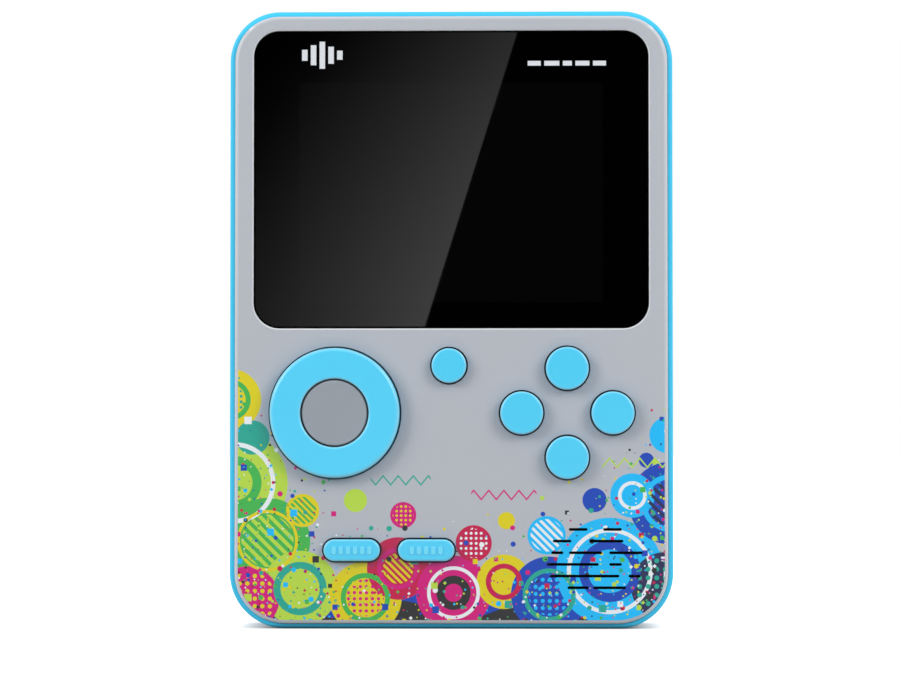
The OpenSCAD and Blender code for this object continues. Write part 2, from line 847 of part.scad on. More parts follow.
module dpad_mat() {
    color(RUBBER) stand() translate([-cluster_x, cluster_y, 0]) difference() {
        translate([0, 0, board_z]) cylinder(h = mat_t, r = dpad_r + dpad_wall);
        translate([0, 0, board_z - cut]) {
            cylinder(h = mat_t + 2 * cut, r = post_foot_r + slip);
            for (i = [0:3]) rotate([0, 0, 90 * i]) translate([dpad_dome_x, 0, 0])
                cylinder(h = mat_t + 2 * cut, r = dpad_dome_r + mat_gap);
        }
    }
}

// A round key: a cap with a rounded edge on a flange
module round_key(d, top_z) {
    rotate_extrude() let ($reach = d / 2) {
        edge_profile(key_flange_z, top_z, 0, key_round);
        translate([0, key_flange_z]) square([d / 2 + flange_w, key_flange_t]);
    }
}

module action_button(i) {
    color(BLUE) stand() at_action(i) round_key(action_d, face_z + action_h);
}

module action_dome(i) {
    color(RUBBER) stand() at_action(i) dome(dome_r, dome_rest_z, key_flange_z);
}

module action_mat() {
    color(RUBBER) stand() difference() {
        translate([cluster_x, cluster_y, 0]) rotate([0, 0, 45])
            plate(mat_side, mat_side, board_z, board_z + mat_t, mat_corner_r);
        for (i = [0:3]) at_action(i) translate([0, 0, board_z - cut])
            cylinder(h = mat_t + 2 * cut, r = dome_r + mat_gap);
    }
}

module reset_button() {
    color(BLUE) stand() translate([reset_x, reset_y, 0]) round_key(reset_d, face_z + reset_h);
}

module reset_dome() {
    color(RUBBER) stand() translate([reset_x, reset_y, 0]) dome(small_dome_r, dome_rest_z, key_flange_z);
}

module reset_mat() {
    color(RUBBER) stand() translate([reset_x, reset_y, 0]) difference() {
        plate(reset_mat_w, reset_mat_w, board_z, board_z + mat_t, small_mat_r);
        translate([0, 0, board_z - cut]) cylinder(h = mat_t + 2 * cut, r = small_dome_r + mat_gap);
    }
}

module menu_button(i) {
    color(BLUE) stand() at_menu(i) {
        plate(menu_w, menu_d, key_flange_z, face_z + menu_h, menu_d / 2, key_round);
        plate(menu_w + 2 * flange_w, menu_d + 2 * flange_w, key_flange_z, key_flange_z + key_flange_t,
            menu_d / 2 + flange_w);
    }
}

module menu_dome(i) {
    color(RUBBER) stand() at_menu(i) dome(small_dome_r, dome_rest_z, key_flange_z);
}

module menu_mat() {
    color(RUBBER) stand() difference() {
        translate([menu_mid_x, menu_y, 0])
            plate(right_menu_x - left_menu_x + 2 * menu_mat_margin, menu_mat_h, board_z, board_z + mat_t,
                small_mat_r);
        for (i = [0, 1]) at_menu(i) translate([0, 0, board_z - cut])
            cylinder(h = mat_t + 2 * cut, r = small_dome_r + mat_gap);
    }
}

module speaker_frame() {
    color("#2a2c30") stand() translate([speaker_x, speaker_y, 0]) {
        rotate_extrude() polygon([
            [magnet_r - basket_lap, speaker_back_z],
            [speaker_r, speaker_back_z],
            [speaker_r, speaker_front_z],
            [speaker_r - basket_t, speaker_front_z],
            [speaker_r - basket_t, speaker_back_z + lug_t],
            [magnet_r - basket_lap, speaker_back_z + lug_t]
        ]);
        translate([-speaker_r - (lug_reach - basket_t) / 2, 0, 0])
            block(lug_reach + basket_t, lug_w, speaker_back_z, speaker_back_z + lug_t);
    }
}

module speaker_cone() {
    rim_r = speaker_r - basket_t - slip;
    top_z = speaker_front_z - cone_drop;
    neck_z = top_z - cone_depth;
    color("#1b1c1f") stand() translate([speaker_x, speaker_y, 0]) rotate_extrude() polygon([
        [0, neck_z + cone_crown - cone_t],
        [cone_neck_r, neck_z - cone_t],
        [rim_r, top_z - cone_t],
        [rim_r, top_z],
        [cone_neck_r, neck_z],
        [0, neck_z + cone_crown]
    ]);
}

module speaker_magnet() {
    color(STEEL) stand() translate([speaker_x, speaker_y, speaker_back_z - magnet_t])
        cylinder(h = magnet_t, r = magnet_r);
}

module speaker_screen() {
    color(BLACK) stand() translate([speaker_x, speaker_y, speaker_front_z])
        cylinder(h = screen_t, r = speaker_r);
}

// Two short wires from the speaker's lug down to the board
module speaker_wires() {
    start_x = speaker_x - speaker_r - lug_reach;
    wire_z = speaker_back_z + lug_t / 2;
    color("#b3261e") stand() for (side = [-1, 1]) translate([start_x, speaker_y + side * wire_gap, wire_z]) {
        rotate([0, -90, 0]) cylinder(h = wire_run, r = wire_r);
        translate([-wire_run, 0, -wire_bend_r]) rotate([90, 0, 0]) rotate([0, 0, 90])
            rotate_extrude(angle = 90) translate([wire_bend_r, 0]) circle(wire_r);
        translate([-wire_run - wire_bend_r, 0, board_z - wire_z])
            cylinder(h = wire_z - wire_bend_r - board_z, r = wire_r);
    }
}

module battery() {
    color("#3c3f45") stand() translate([0, battery_y + battery_h / 2, 0])
        plate(battery_w, battery_h, battery_z, battery_z + battery_t, battery_corner_r);
}

// Three sprung leaves that touch the battery's upper end and stand on the board
module battery_contacts() {
    leaf_y = contact_reach - contact_t;
    low_z = battery_z + contact_low;
    color("#c9a24a") stand() for (i = [-1:1])
        translate([i * contact_pitch - contact_w / 2, battery_top_y, 0]) rotate([90, 0, 90])
            linear_extrude(contact_w) polygon([
                [contact_reach, low_z],
                [contact_reach, board_back_z],
                [leaf_y, board_back_z],
                [leaf_y, low_z + contact_bend],
                [slip, low_z + contact_bend * 2 / 3],
                [slip, low_z + contact_bend / 3],
                [leaf_y, low_z]
            ]);
}

module battery_cover() {
    cover_h = cover_top_y - hinge_y;
    color(BLUE) stand() difference() {
        union() {
            translate([0, hinge_y + cover_h / 2, 0]) block(cover_w, cover_h, 0, cover_t);
            translate([-cover_w / 2, hinge_y, cover_r]) rotate([0, 90, 0])
                cylinder(h = cover_w, r = cover_r);
            translate([-cover_w / 2 - hinge_pin_l, hinge_y, cover_r]) rotate([0, 90, 0])
                cylinder(h = cover_w + 2 * hinge_pin_l, r = hinge_pin_r);
            for (side = [-1, 1])
                translate([side * tongue_x, bay_y + bay_h - 2 * slip - tongue_t / 2, 0])
                    block(tongue_w, tongue_t, cover_t - slip, cover_t + tongue_l);
        }
        for (i = [0:grooves - 1]) translate([0, cover_top_y - groove_top - i * groove_pitch, 0])
            block(groove_w, groove_d, -cut, groove_t);
    }
}

module power_switch_body() {
    top_y = body_h - wall_t - 2 * slip;
    color(STEEL) stand() translate([switch_x, 0, switch_z]) difference() {
        translate([0, top_y - switch_l / 2, 0]) block(switch_w, switch_l, -switch_t / 2, switch_t / 2);
        translate([0, top_y, 0])
            block(stem_w + switch_travel + 4 * slip, 2 * stem_l + 2 * slip,
                -stem_t / 2 - 2 * slip, stem_t / 2 + 2 * slip);
    }
}

// Drawn in the off position, at the left end of its slot
module power_switch_slider() {
    stem_y0 = body_h - wall_t - 2 * slip - stem_l;
    knob_y0 = body_h - knob_recess + slip;
    knob_y1 = body_h - slip;
    color("#2c2d31") stand() translate([switch_x - switch_travel / 2, 0, switch_z]) difference() {
        union() {
            translate([0, (stem_y0 + knob_y0) / 2, 0])
                block(stem_w, knob_y0 - stem_y0, -stem_t / 2, stem_t / 2);
            translate([0, (knob_y0 + knob_y1) / 2, 0])
                block(knob_w, knob_y1 - knob_y0, -knob_t / 2, knob_t / 2);
        }
        for (i = [0:ridges - 1]) translate([(i - (ridges - 1) / 2) * ridge_pitch, knob_y1, 0])
            block(ridge_w, 2 * ridge_d, -knob_t / 2 - cut, knob_t / 2 + cut);
    }
}

module volume_control() {
    color("#33353a") stand() translate([wheel_x, wheel_y, 0]) {
        translate([0, 0, board_back_z - volume_t]) cylinder(h = volume_t, r = volume_r);
        translate([0, 0, wheel_z - slip]) cylinder(h = board_back_z - wheel_z, r = shaft_r);
        translate([0, 0, wheel_z - slip - rivet_t]) cylinder(h = rivet_t, r = rivet_r);
    }
}

module volume_wheel() {
    color("#2c2d31") stand() translate([wheel_x, wheel_y, wheel_z]) difference() {
        cylinder(h = wheel_t, r = wheel_r);
        translate([0, 0, -cut]) cylinder(h = wheel_t + 2 * cut, r = shaft_r + running_gap);
        for (i = [0:knurls - 1]) rotate([0, 0, i * 360 / knurls]) translate([wheel_r + slip, 0, -cut])
            cylinder(h = wheel_t + 2 * cut, r = knurl_r);
    }
}

module usb_port() {
    color(STEEL) stand() translate([0, body_h - usb_inset, usb_z]) rotate([90, 0, 0]) difference() {
        plate(usb_w, usb_t, 0, usb_l, usb_t / 2);
        plate(usb_w - 2 * usb_wall, usb_t - 2 * usb_wall, -cut, usb_l - usb_back, usb_t / 2 - usb_wall);
    }
}

module usb_tongue() {
    color(BLACK) stand() translate([0, body_h - usb_inset, usb_z]) rotate([90, 0, 0])
        block(usb_tongue_w, usb_tongue_t, usb_tongue_inset, usb_l - usb_back);
}

module av_jack() {
    top_y = body_h - wall_t - slip;
    color("#1e1f22") stand() translate([jack_x, top_y, jack_z]) rotate([90, 0, 0]) difference() {
        block(jack_w, jack_t, 0, jack_l);
        translate([0, 0, -cut]) cylinder(h = jack_l - jack_floor + cut, r = jack_bore_r);
    }
}

// A pan-head screw that points towards the face, with a cross recess in its head
module screw(shank_r, head_r, head_t, seat_z, tip_z) {
    difference() {
        union() {
            translate([0, 0, seat_z]) cylinder(h = tip_z - seat_z, r = shank_r);
            translate([0, 0, seat_z - head_t]) cylinder(h = head_t, r = head_r);
        }
        for (turn = [0, 90]) rotate([0, 0, turn])
            block(head_r * cross_l, head_r * cross_w, seat_z - head_t - cut, seat_z - head_t / 2);
    }
}

module case_screws() {
    color(STEEL) stand() at_each(CASE_SCREWS)
        screw(case_shank_r, case_head_r, case_head_t, tunnel_seat_z, case_screw_z);
}

module board_screws() {
    color(STEEL) stand() at_each(BOARD_SCREWS)
        screw(board_shank_r, board_head_r, board_head_t, board_back_z, board_screw_z);
}

front_shell();
rear_shell();
screen_lens();
lens_tape();
lcd_panel();
lcd_backlight();
lcd_frame();
lcd_foam_pad();
lcd_ribbon();
lcd_connector();
main_board();
processor();
memory_chip();
dpad_ring();
dpad_cap();
dpad_domes();
dpad_pivot_ball();
dpad_pivot_post();
dpad_mat();
for (i = [0:3]) {
    action_button(i);
    action_dome(i);
}
action_mat();
reset_button();
reset_dome();
reset_mat();
for (i = [0, 1]) {
    menu_button(i);
    menu_dome(i);
}
menu_mat();
speaker_frame();
speaker_cone();
speaker_magnet();
speaker_screen();
speaker_wires();
battery();
battery_contacts();
battery_cover();
power_switch_body();
power_switch_slider();
volume_control();
volume_wheel();
usb_port();
usb_tongue();
av_jack();
case_screws();
board_screws();
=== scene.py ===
import math

import bmesh
import bpy
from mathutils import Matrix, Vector


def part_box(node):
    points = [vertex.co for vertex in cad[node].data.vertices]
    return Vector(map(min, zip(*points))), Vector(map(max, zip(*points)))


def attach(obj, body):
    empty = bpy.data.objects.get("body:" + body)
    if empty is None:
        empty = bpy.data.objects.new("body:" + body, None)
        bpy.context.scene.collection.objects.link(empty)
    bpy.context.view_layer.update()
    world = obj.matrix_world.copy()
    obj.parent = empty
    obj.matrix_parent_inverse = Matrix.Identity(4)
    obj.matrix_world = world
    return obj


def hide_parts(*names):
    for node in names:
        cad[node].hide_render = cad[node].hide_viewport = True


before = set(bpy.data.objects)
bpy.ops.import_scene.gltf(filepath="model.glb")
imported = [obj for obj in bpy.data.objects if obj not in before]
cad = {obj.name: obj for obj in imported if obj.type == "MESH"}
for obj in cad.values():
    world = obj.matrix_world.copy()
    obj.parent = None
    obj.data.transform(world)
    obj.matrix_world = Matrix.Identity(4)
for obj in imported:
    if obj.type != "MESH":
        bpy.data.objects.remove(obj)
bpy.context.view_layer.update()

scene = bpy.context.scene
mm = 0.001


def tone(red, green, blue):  # screen colour 0-255 to the linear colour that sockets take
    parts = [c / 255 for c in (red, green, blue)]
    return tuple(c / 12.92 if c <= 0.04045 else ((c + 0.055) / 1.055) ** 2.4 for c in parts) + (1.0,)


def darker(colour, share):
    return tuple(c * share for c in colour[:3]) + (1.0,)


def boxMm(name):  # low corner, high corner and middle of a CAD node
    low, high = (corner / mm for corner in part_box(name))
    return low, high, (low + high) / 2


def plug(tree, socket, value):
    if isinstance(value, bpy.types.NodeSocket):
        tree.links.new(value, socket)
    elif value is not None:
        socket.default_value = value


def addNode(tree, kind, inputs=None, **settings):
    made = tree.nodes.new(kind)
    for key, value in settings.items():
        setattr(made, key, value)
    for key, value in (inputs or {}).items():
        plug(tree, made.inputs[key], value)
    return made


def calc(tree, operation, a, b=None, c=None, clamp=False):
    made = addNode(tree, "ShaderNodeMath", operation=operation, use_clamp=clamp)
    for socket, value in zip(made.inputs, (a, b, c)):
        plug(tree, socket, value)
    return made.outputs[0]


def layer(tree, under, over, mask):  # colour over colour where the mask is 1
    made = addNode(tree, "ShaderNodeMix", data_type="RGBA")
    for index, value in ((0, mask), (6, under), (7, over)):
        plug(tree, made.inputs[index], value)
    return made.outputs[2]


def noise(tree, place, sizeMm, detail=3.0, rough=0.55):
    inputs = {"Vector": place, "Scale": 1 / (sizeMm * mm), "Detail": detail, "Roughness": rough}
    return addNode(tree, "ShaderNodeTexNoise", inputs).outputs["Fac"]


def cells(tree, place, sizeMm):  # how far a spot is from the middle of its cell
    inputs = {"Vector": place, "Scale": 1 / (sizeMm * mm)}
    return addNode(tree, "ShaderNodeTexVoronoi", inputs).outputs["Distance"]


def spread(tree, value, low, high):  # 0-1 to low-high
    return calc(tree, "MULTIPLY_ADD", value, high - low, low)


def objectPlace(tree):
    return addNode(tree, "ShaderNodeTexCoord").outputs["Object"]


def inMm(tree, place):  # x, y and z of a place
    split = addNode(tree, "ShaderNodeSeparateXYZ", {0: place}).outputs
    return [calc(tree, "MULTIPLY", split[axis], 1 / mm) for axis in "XYZ"]


def flatSpot(tree, x, z):
    return addNode(tree, "ShaderNodeCombineXYZ", {"X": x, "Y": z}).outputs[0]


def farFrom(tree, spot, x, z):
    inputs = {0: spot, 1: (x, z, 0)}
    return addNode(tree, "ShaderNodeVectorMath", inputs, operation="DISTANCE").outputs["Value"]


crispSetup = {"perMm": 12.0, "middle": 0.5}


def crisp(tree, insideMm):  # 1 inside, 0 outside, over an edge of a tenth of a mm
    return calc(tree, "MULTIPLY_ADD", insideMm, crispSetup["perMm"], crispSetup["middle"], clamp=True)


def rectMask(tree, x, z, midX, midZ, width, height):
    offX = calc(tree, "ABSOLUTE", calc(tree, "SUBTRACT", x, midX))
    offZ = calc(tree, "ABSOLUTE", calc(tree, "SUBTRACT", z, midZ))
    insideX = calc(tree, "SUBTRACT", width / 2, offX)
    insideZ = calc(tree, "SUBTRACT", height / 2, offZ)
    return crisp(tree, calc(tree, "MINIMUM", insideX, insideZ))


def lines(tree, value, pitch, width):  # stripes of that width, one each pitch
    wave = calc(tree, "PINGPONG", value, pitch / 2)
    return crisp(tree, calc(tree, "SUBTRACT", wave, (pitch - width) / 2))


def facing(tree):  # 1 on what faces the front or back, 0 on the sides
    normal = addNode(tree, "ShaderNodeNewGeometry").outputs["Normal"]
    return calc(tree, "ABSOLUTE", addNode(tree, "ShaderNodeSeparateXYZ", {0: normal}).outputs["Y"])


def paintedEdgeHighlight(tree, colour, light, share):  # painted highlight: lighter along edges, where the surface turns off the front
    front = facing(tree)
    turned = calc(tree, "MULTIPLY", front, calc(tree, "SUBTRACT", 1.0, front))
    most = calc(tree, "MULTIPLY", turned, 4.0)  # 1 where it is half turned
    return layer(tree, colour, light, calc(tree, "MULTIPLY", most, share, clamp=True))


def closedIn(tree, reachMm, share):  # rises to the share where other surfaces stand close
    near = addNode(tree, "ShaderNodeAmbientOcclusion", {"Distance": reachMm * mm}, samples=8).outputs["AO"]
    return calc(tree, "MULTIPLY_ADD", near, -share, share, clamp=True)


def newFinish(name):
    made = bpy.data.materials.new(name)
    made.use_nodes = True
    tree = made.node_tree
    return made, tree, tree.nodes["Principled BSDF"], objectPlace(tree)


def opened(made):  # tree, colour socket, colour so far and place in mm of a finish that is made
    tree = made.node_tree
    base = tree.nodes["Principled BSDF"].inputs["Base Color"]
    return tree, base, base.links[0].from_socket, inMm(tree, objectPlace(tree))


def relief(tree, skin, height, depthMm):
    bump = addNode(tree, "ShaderNodeBump", {"Strength": 1.0, "Distance": depthMm * mm, "Height": height})
    tree.links.new(bump.outputs["Normal"], skin.inputs["Normal"])


# moulded plastic or rubber: a fine grain, and a slow drift of tone as moulded parts have
mouldedSetup = {"cloudMm": 17, "drift": 0.94, "roughSwing": 0.05, "detail": 2}


def moulded(name, colour, rough, grainMm=0.22, depthMm=0.006, specular=0.5):
    made, tree, skin, place = newFinish(name)
    speck = noise(tree, place, grainMm, mouldedSetup["detail"])
    cloud = noise(tree, place, mouldedSetup["cloudMm"], mouldedSetup["detail"])
    swing = mouldedSetup["roughSwing"]
    plug(tree, skin.inputs["Base Color"], layer(tree, colour, darker(colour, mouldedSetup["drift"]), cloud))
    plug(tree, skin.inputs["Roughness"], spread(tree, speck, rough - swing, rough + swing))
    skin.inputs["Specular IOR Level"].default_value = specular
    relief(tree, skin, speck, depthMm)
    return made


# metal: brushed along z
metalSetup = {"streak": (1, 1, 24), "brushMm": 1.1, "brushRough": 0.7, "shade": 0.8, "swing": (-0.06, 0.1),
              "depthMm": 0.004}


def metal(name, colour, rough):
    made, tree, skin, place = newFinish(name)
    drawn = addNode(tree, "ShaderNodeMapping", {"Vector": place, "Scale": metalSetup["streak"]}).outputs[0]
    brush = noise(tree, drawn, metalSetup["brushMm"], 3, metalSetup["brushRough"])
    low, high = metalSetup["swing"]
    plug(tree, skin.inputs["Base Color"], layer(tree, darker(colour, metalSetup["shade"]), colour, brush))
    plug(tree, skin.inputs["Roughness"], spread(tree, brush, rough + low, rough + high))
    skin.inputs["Metallic"].default_value = 1.0
    relief(tree, skin, brush, metalSetup["depthMm"])
    return made


# stage: camera, light, floor and the cards that the lens mirrors
cameraSetup = {"aim": (-0.0002, -0.00965, 0.0579), "away": 0.6, "fromBelow": 1.6, "fromRight": 1.1,
               "lens": 120.6, "sensor": 36, "clip": 0.01}
cameraData = bpy.data.cameras.new("camera")
cameraData.sensor_width = cameraSetup["sensor"]
cameraData.lens = cameraSetup["lens"]
cameraData.clip_start = cameraSetup["clip"]
camera = bpy.data.objects.new("camera", cameraData)
below = math.radians(cameraSetup["fromBelow"])
right = math.radians(cameraSetup["fromRight"])
looking = Vector((-math.sin(right), math.cos(right) * math.cos(below), math.sin(below))).normalized()
camera.location = Vector(cameraSetup["aim"]) - cameraSetup["away"] * looking
camera.rotation_euler = looking.to_track_quat("-Z", "Y").to_euler()
scene.collection.objects.link(camera)
scene.camera = camera
scene.view_settings.view_transform = "Standard"

worldSetup = {"light": 0.56, "backdrop": 1.0}  # what lights the object, and what the camera and mirrors see
world = bpy.data.worlds.new("studio")
scene.world = world
world.use_nodes = True
tree = world.node_tree
path = addNode(tree, "ShaderNodeLightPath").outputs
mirrored = calc(tree, "MAXIMUM", path["Is Glossy Ray"], path["Is Transmission Ray"])
seen = calc(tree, "MAXIMUM", path["Is Camera Ray"], mirrored)
backdrop = tree.nodes["Background"]
backdrop.inputs["Color"].default_value = (1, 1, 1, 1)
plug(tree, backdrop.inputs["Strength"], spread(tree, seen, worldSetup["light"], worldSetup["backdrop"]))

lampSetup = {
    "left": {"place": (-0.56, -0.42, 0.34), "size": 0.32, "watts": 2.4},
    "right": {"place": (0.5, -0.42, 0.36), "size": 0.32, "watts": 2.1},
    "rear": {"place": (0.25, 0.6, 0.45), "size": 0.5, "watts": 2.2},
}
lampAim = Vector((0, 0, 0.06))
for name, lamp in lampSetup.items():
    lampData = bpy.data.lights.new(name, "AREA")
    lampData.size = lamp["size"]
    lampData.energy = lamp["watts"]
    made = bpy.data.objects.new(name, lampData)
    made.location = lamp["place"]
    made.rotation_euler = (lampAim - made.location).to_track_quat("-Z", "Y").to_euler()
    scene.collection.objects.link(made)


def flatPiece(name, corners, material):
    mesh = bpy.data.meshes.new(name)
    mesh.from_pydata(corners, [], [tuple(range(len(corners)))])
    mesh.materials.append(material)
    made = bpy.data.objects.new(name, mesh)
    scene.collection.objects.link(made)
    return made


def mirrorCard(name, corners, material):  # seen in reflections only
    made = flatPiece(name, corners, material)
    for ray in ("camera", "diffuse", "transmission", "volume_scatter", "shadow"):
        setattr(made, "visible_" + ray, False)


def bareFinish(name):  # a material with nothing on its output yet
    made = bpy.data.materials.new(name)
    made.use_nodes = True
    tree = made.node_tree
    tree.nodes.remove(tree.nodes["Principled BSDF"])
    return made, tree, tree.nodes["Material Output"].inputs["Surface"]


# floor: paper that glows to stay white, and glows less where the object stands close, as a painted shadow
floorSetup = {"half": 3.0, "albedo": 0.45, "shadowMm": 4.2, "glow": (0.1, 0.95)}
floorFinish, tree, surface = bareFinish("floorPaper")
path = addNode(tree, "ShaderNodeLightPath").outputs
seen = calc(tree, "MAXIMUM", path["Is Camera Ray"], path["Is Glossy Ray"])
near = addNode(tree, "ShaderNodeAmbientOcclusion", {"Distance": floorSetup["shadowMm"] * mm}).outputs["AO"]
strength = calc(tree, "MULTIPLY", seen, spread(tree, near, *floorSetup["glow"]))
paper = addNode(tree, "ShaderNodeBsdfDiffuse", {"Color": (floorSetup["albedo"],) * 3 + (1,)})
glow = addNode(tree, "ShaderNodeEmission", {"Strength": strength})
both = addNode(tree, "ShaderNodeAddShader", {0: paper.outputs[0], 1: glow.outputs[0]})
tree.links.new(both.outputs[0], surface)
half = floorSetup["half"]
flatPiece("floor", [(-half, -half, 0), (half, -half, 0), (half, half, 0), (-half, half, 0)], floorFinish)

# a slanting sheen over the left of the lens: brightest low down beside its edge
sheenSetup = {"y": -0.7, "left": -0.125, "low": (-0.03135, 0.0593), "high": (0.0236, 0.2343),
              "strength": 0.48, "alongX": (10.442, 0.981), "alongZ": (-9.259, 1.857), "fade": -0.25}
sheen, tree, surface = bareFinish("sheenCard")
place = addNode(tree, "ShaderNodeSeparateXYZ", {0: objectPlace(tree)}).outputs
across = calc(tree, "MULTIPLY_ADD", place["X"], *sheenSetup["alongX"])
down = calc(tree, "MULTIPLY_ADD", place["Z"], *sheenSetup["alongZ"])
down = calc(tree, "MULTIPLY_ADD", calc(tree, "MULTIPLY", down, down), sheenSetup["fade"], down)
slope = calc(tree, "MAXIMUM", calc(tree, "ADD", across, down), 0.0)
power = calc(tree, "MULTIPLY", calc(tree, "MULTIPLY", slope, slope), sheenSetup["strength"])
glow = addNode(tree, "ShaderNodeEmission", {"Strength": power})
tree.links.new(glow.outputs[0], surface)
cardY, left, low, high = (sheenSetup[key] for key in ("y", "left", "low", "high"))
mirrorCard("sheenCard", [(left, cardY, low[1]), (low[0], cardY, low[1]), (high[0], cardY, high[1]),
                         (left, cardY, high[1])], sheen)

# a black card behind the sheen keeps the rest of the lens dark
flagSetup = {"y": -0.71, "x": 0.13, "low": 0.05, "high": 0.25}
flagFinish = bpy.data.materials.new("blackFlag")
flagFinish.use_nodes = True
skin = flagFinish.node_tree.nodes["Principled BSDF"]
skin.inputs["Base Color"].default_value = (0, 0, 0, 1)
skin.inputs["Specular IOR Level"].default_value = 0.0
cardY, half, low, high = (flagSetup[key] for key in ("y", "x", "low", "high"))
corners = ((-half, low), (half, low), (half, high), (-half, high))
mirrorCard("blackFlag", [(x, cardY, z) for x, z in corners], flagFinish)
print("stage: camera, lamps, floor and mirror cards")

# face plate: satin gray, with a printed lower half of bubbles, waves and confetti, a painted highlight
# along its edges, and painted shade round the keys and in their openings
inks = {
    "cyan": tone(4, 185, 247), "royal": tone(0, 64, 176), "navy": tone(10, 22, 70),
    "magenta": tone(205, 0, 120), "crimson": tone(190, 0, 70), "yellow": tone(219, 204, 14),
    "lime": tone(180, 214, 70), "green": tone(60, 175, 74), "teal": tone(28, 162, 142),
    "black": tone(14, 14, 18), "white": tone(232, 238, 242),
}
# edge is the colour of a painted highlight along the face's edges; the last three settings are a painted
# shade round the keys
faceSetup = {"gray": tone(182, 186, 194), "drift": 0.95, "cloudMm": 21, "rough": (0.35, 0.45),
             "grainMm": 0.2, "depthMm": 0.005, "printDepthMm": 0.02,
             "edge": tone(240, 244, 248), "edgeShare": 0.5, "lensEdgeShare": 1.1, "lensEdgeMm": 1.0,
             "keyShade": tone(88, 102, 120), "keyShadeMm": 3.4, "keyShadeShare": 0.6}
# field of the keys on the face, in mm, and the painted shade on the walls of its openings
openingSetup = {"halfX": 41, "middle": 32, "halfHeight": 26, "shade": tone(14, 15, 17)}
printSetup = {
    # filled waves: base height, swing, radians per mm, phase, ink
    "waves": [(9.5, 2.6, 0.13, 0.4, "teal"), (6.6, 2.2, 0.17, 2.1, "royal"),
              (3.9, 1.7, 0.24, 4.0, "black")],
    # bubbles: x, height, radius, ink
    "bubbles": [
        (-43, 29, 10.5, "lime"), (-44, 45.5, 6.2, "yellow"), (-36.5, 17.5, 8.5, "green"),
        (-39.5, 38, 3.4, "teal"), (-29.5, 23.5, 3.3, "yellow"), (-30, 8, 7.5, "lime"),
        (-40.5, 6, 6.4, "magenta"), (-19, 25.5, 2.3, "lime"), (-17, 6.2, 7.2, "yellow"),
        (-10.5, 12, 6.2, "crimson"), (-9.5, 22.6, 2.6, "magenta"), (0.5, 7.2, 7.4, "magenta"),
        (4.5, 17, 3.6, "crimson"), (10.5, 9.4, 5.4, "yellow"), (11, 21.5, 1.7, "yellow"),
        (19.5, 6.8, 7.6, "royal"), (19, 18.6, 3.8, "cyan"), (31.5, 11.5, 10.6, "cyan"),
        (43.5, 25, 8.2, "royal"), (36, 26.5, 4.4, "cyan"), (28.5, 25.6, 2.4, "royal"),
        (43, 38.5, 3.6, "cyan"), (42.5, 8.5, 6.8, "navy"), (38.8, 33.5, 1.5, "royal"),
    ],
    # rings: x, height, radius, half width, ink
    "rings": [
        (-43, 29, 7.6, 0.45, "white"), (-43, 29, 4.4, 0.9, "green"), (-36.5, 17.5, 5.8, 0.3, "yellow"),
        (-30, 8, 4.6, 0.7, "teal"), (-17, 6.2, 4.4, 0.5, "green"), (0.5, 7.2, 4.9, 0.35, "white"),
        (0.5, 7.2, 2.6, 0.8, "black"), (-10.5, 12, 3.7, 0.45, "magenta"), (10.5, 9.4, 3.1, 0.5, "crimson"),
        (31.5, 11.5, 8.1, 0.4, "white"), (31.5, 11.5, 5.2, 0.9, "royal"), (43.5, 25, 5.2, 0.5, "cyan"),
        (19.5, 6.8, 4.8, 0.45, "teal"), (36, 26.5, 2.5, 0.35, "white"), (-44, 45.5, 3.6, 0.5, "green"),
    ],
    # fills inside a bubble: x, height, radius, pattern, mm per repeat, ink
    "fills": [
        (-36.5, 17.5, 5.2, "stripes", 1.5, "lime"), (-40.5, 6, 5.6, "dots", 1.5, "yellow"),
        (-29.5, 23.5, 2.7, "stripes", 0.9, "green"), (-17, 6.2, 3.7, "dots", 1.2, "magenta"),
        (-10.5, 12, 3.0, "stripes", 1.0, "yellow"), (4.5, 17, 2.9, "dots", 1.0, "white"),
        (19, 18.6, 3.2, "stripes", 1.1, "white"), (19.5, 6.8, 4.1, "dots", 1.4, "cyan"),
        (43.5, 25, 4.4, "stripes", 1.3, "navy"), (42.5, 8.5, 6.0, "dots", 1.7, "teal"),
        (-9.5, 22.6, 2.1, "dots", 0.9, "yellow"), (-44, 45.5, 2.9, "dots", 1.1, "teal"),
    ],
    "halfStripe": 0.7,  # half a repeat, as x plus z counts it, for each mm of repeat
    "dotRadius": 0.28,  # for each mm of repeat
    # zigzag lines: middle height, swing, mm per tooth, half width, from x, to x, ink
    "zigzags": [(29.5, 0.9, 1.5, 0.22, -16, -4, "teal"), (26.6, 0.9, 1.5, 0.22, 4, 17, "magenta"),
                (33, 0.9, 1.5, 0.22, 30, 44, "lime")],
    # confetti: mm per piece, least and most radius, shape, shift, share kept
    "confetti": [(3.1, 0.2, 0.55, "EUCLIDEAN", 11.3, 0.62), (4.7, 0.35, 0.8, "CHEBYCHEV", 47.9, 0.4),
                 (2.3, 0.16, 0.4, "MANHATTAN", 83.1, 0.55), (1.5, 0.09, 0.2, "EUCLIDEAN", 23.7, 0.5)],
    "confettiInks": ["cyan", "magenta", "yellow", "lime", "royal", "black", "white", "teal", "crimson",
                     "green"],
    "loose": 0.7,  # how far the confetti strays from even rows
    "reach": (25, 30, 2.6),  # its height in the middle, its rise at the sides, how late it rises
    "halfWidth": 44,  # of the face
    "fadeMm": 18,  # how far below that height the share kept is met
}


def inked(tree, colour, ink, insideMm, mask=None):
    cover = crisp(tree, insideMm)
    if mask is not None:
        cover = calc(tree, "MULTIPLY", mask, cover)
    return layer(tree, colour, inks[ink], cover)


def printWaves(tree, x, z, colour):
    for base, swing, pace, phase, ink in printSetup["waves"]:
        wave = calc(tree, "SINE", calc(tree, "MULTIPLY_ADD", x, pace, phase))
        height = calc(tree, "MULTIPLY_ADD", wave, swing, base)
        colour = inked(tree, colour, ink, calc(tree, "SUBTRACT", height, z))
    return colour


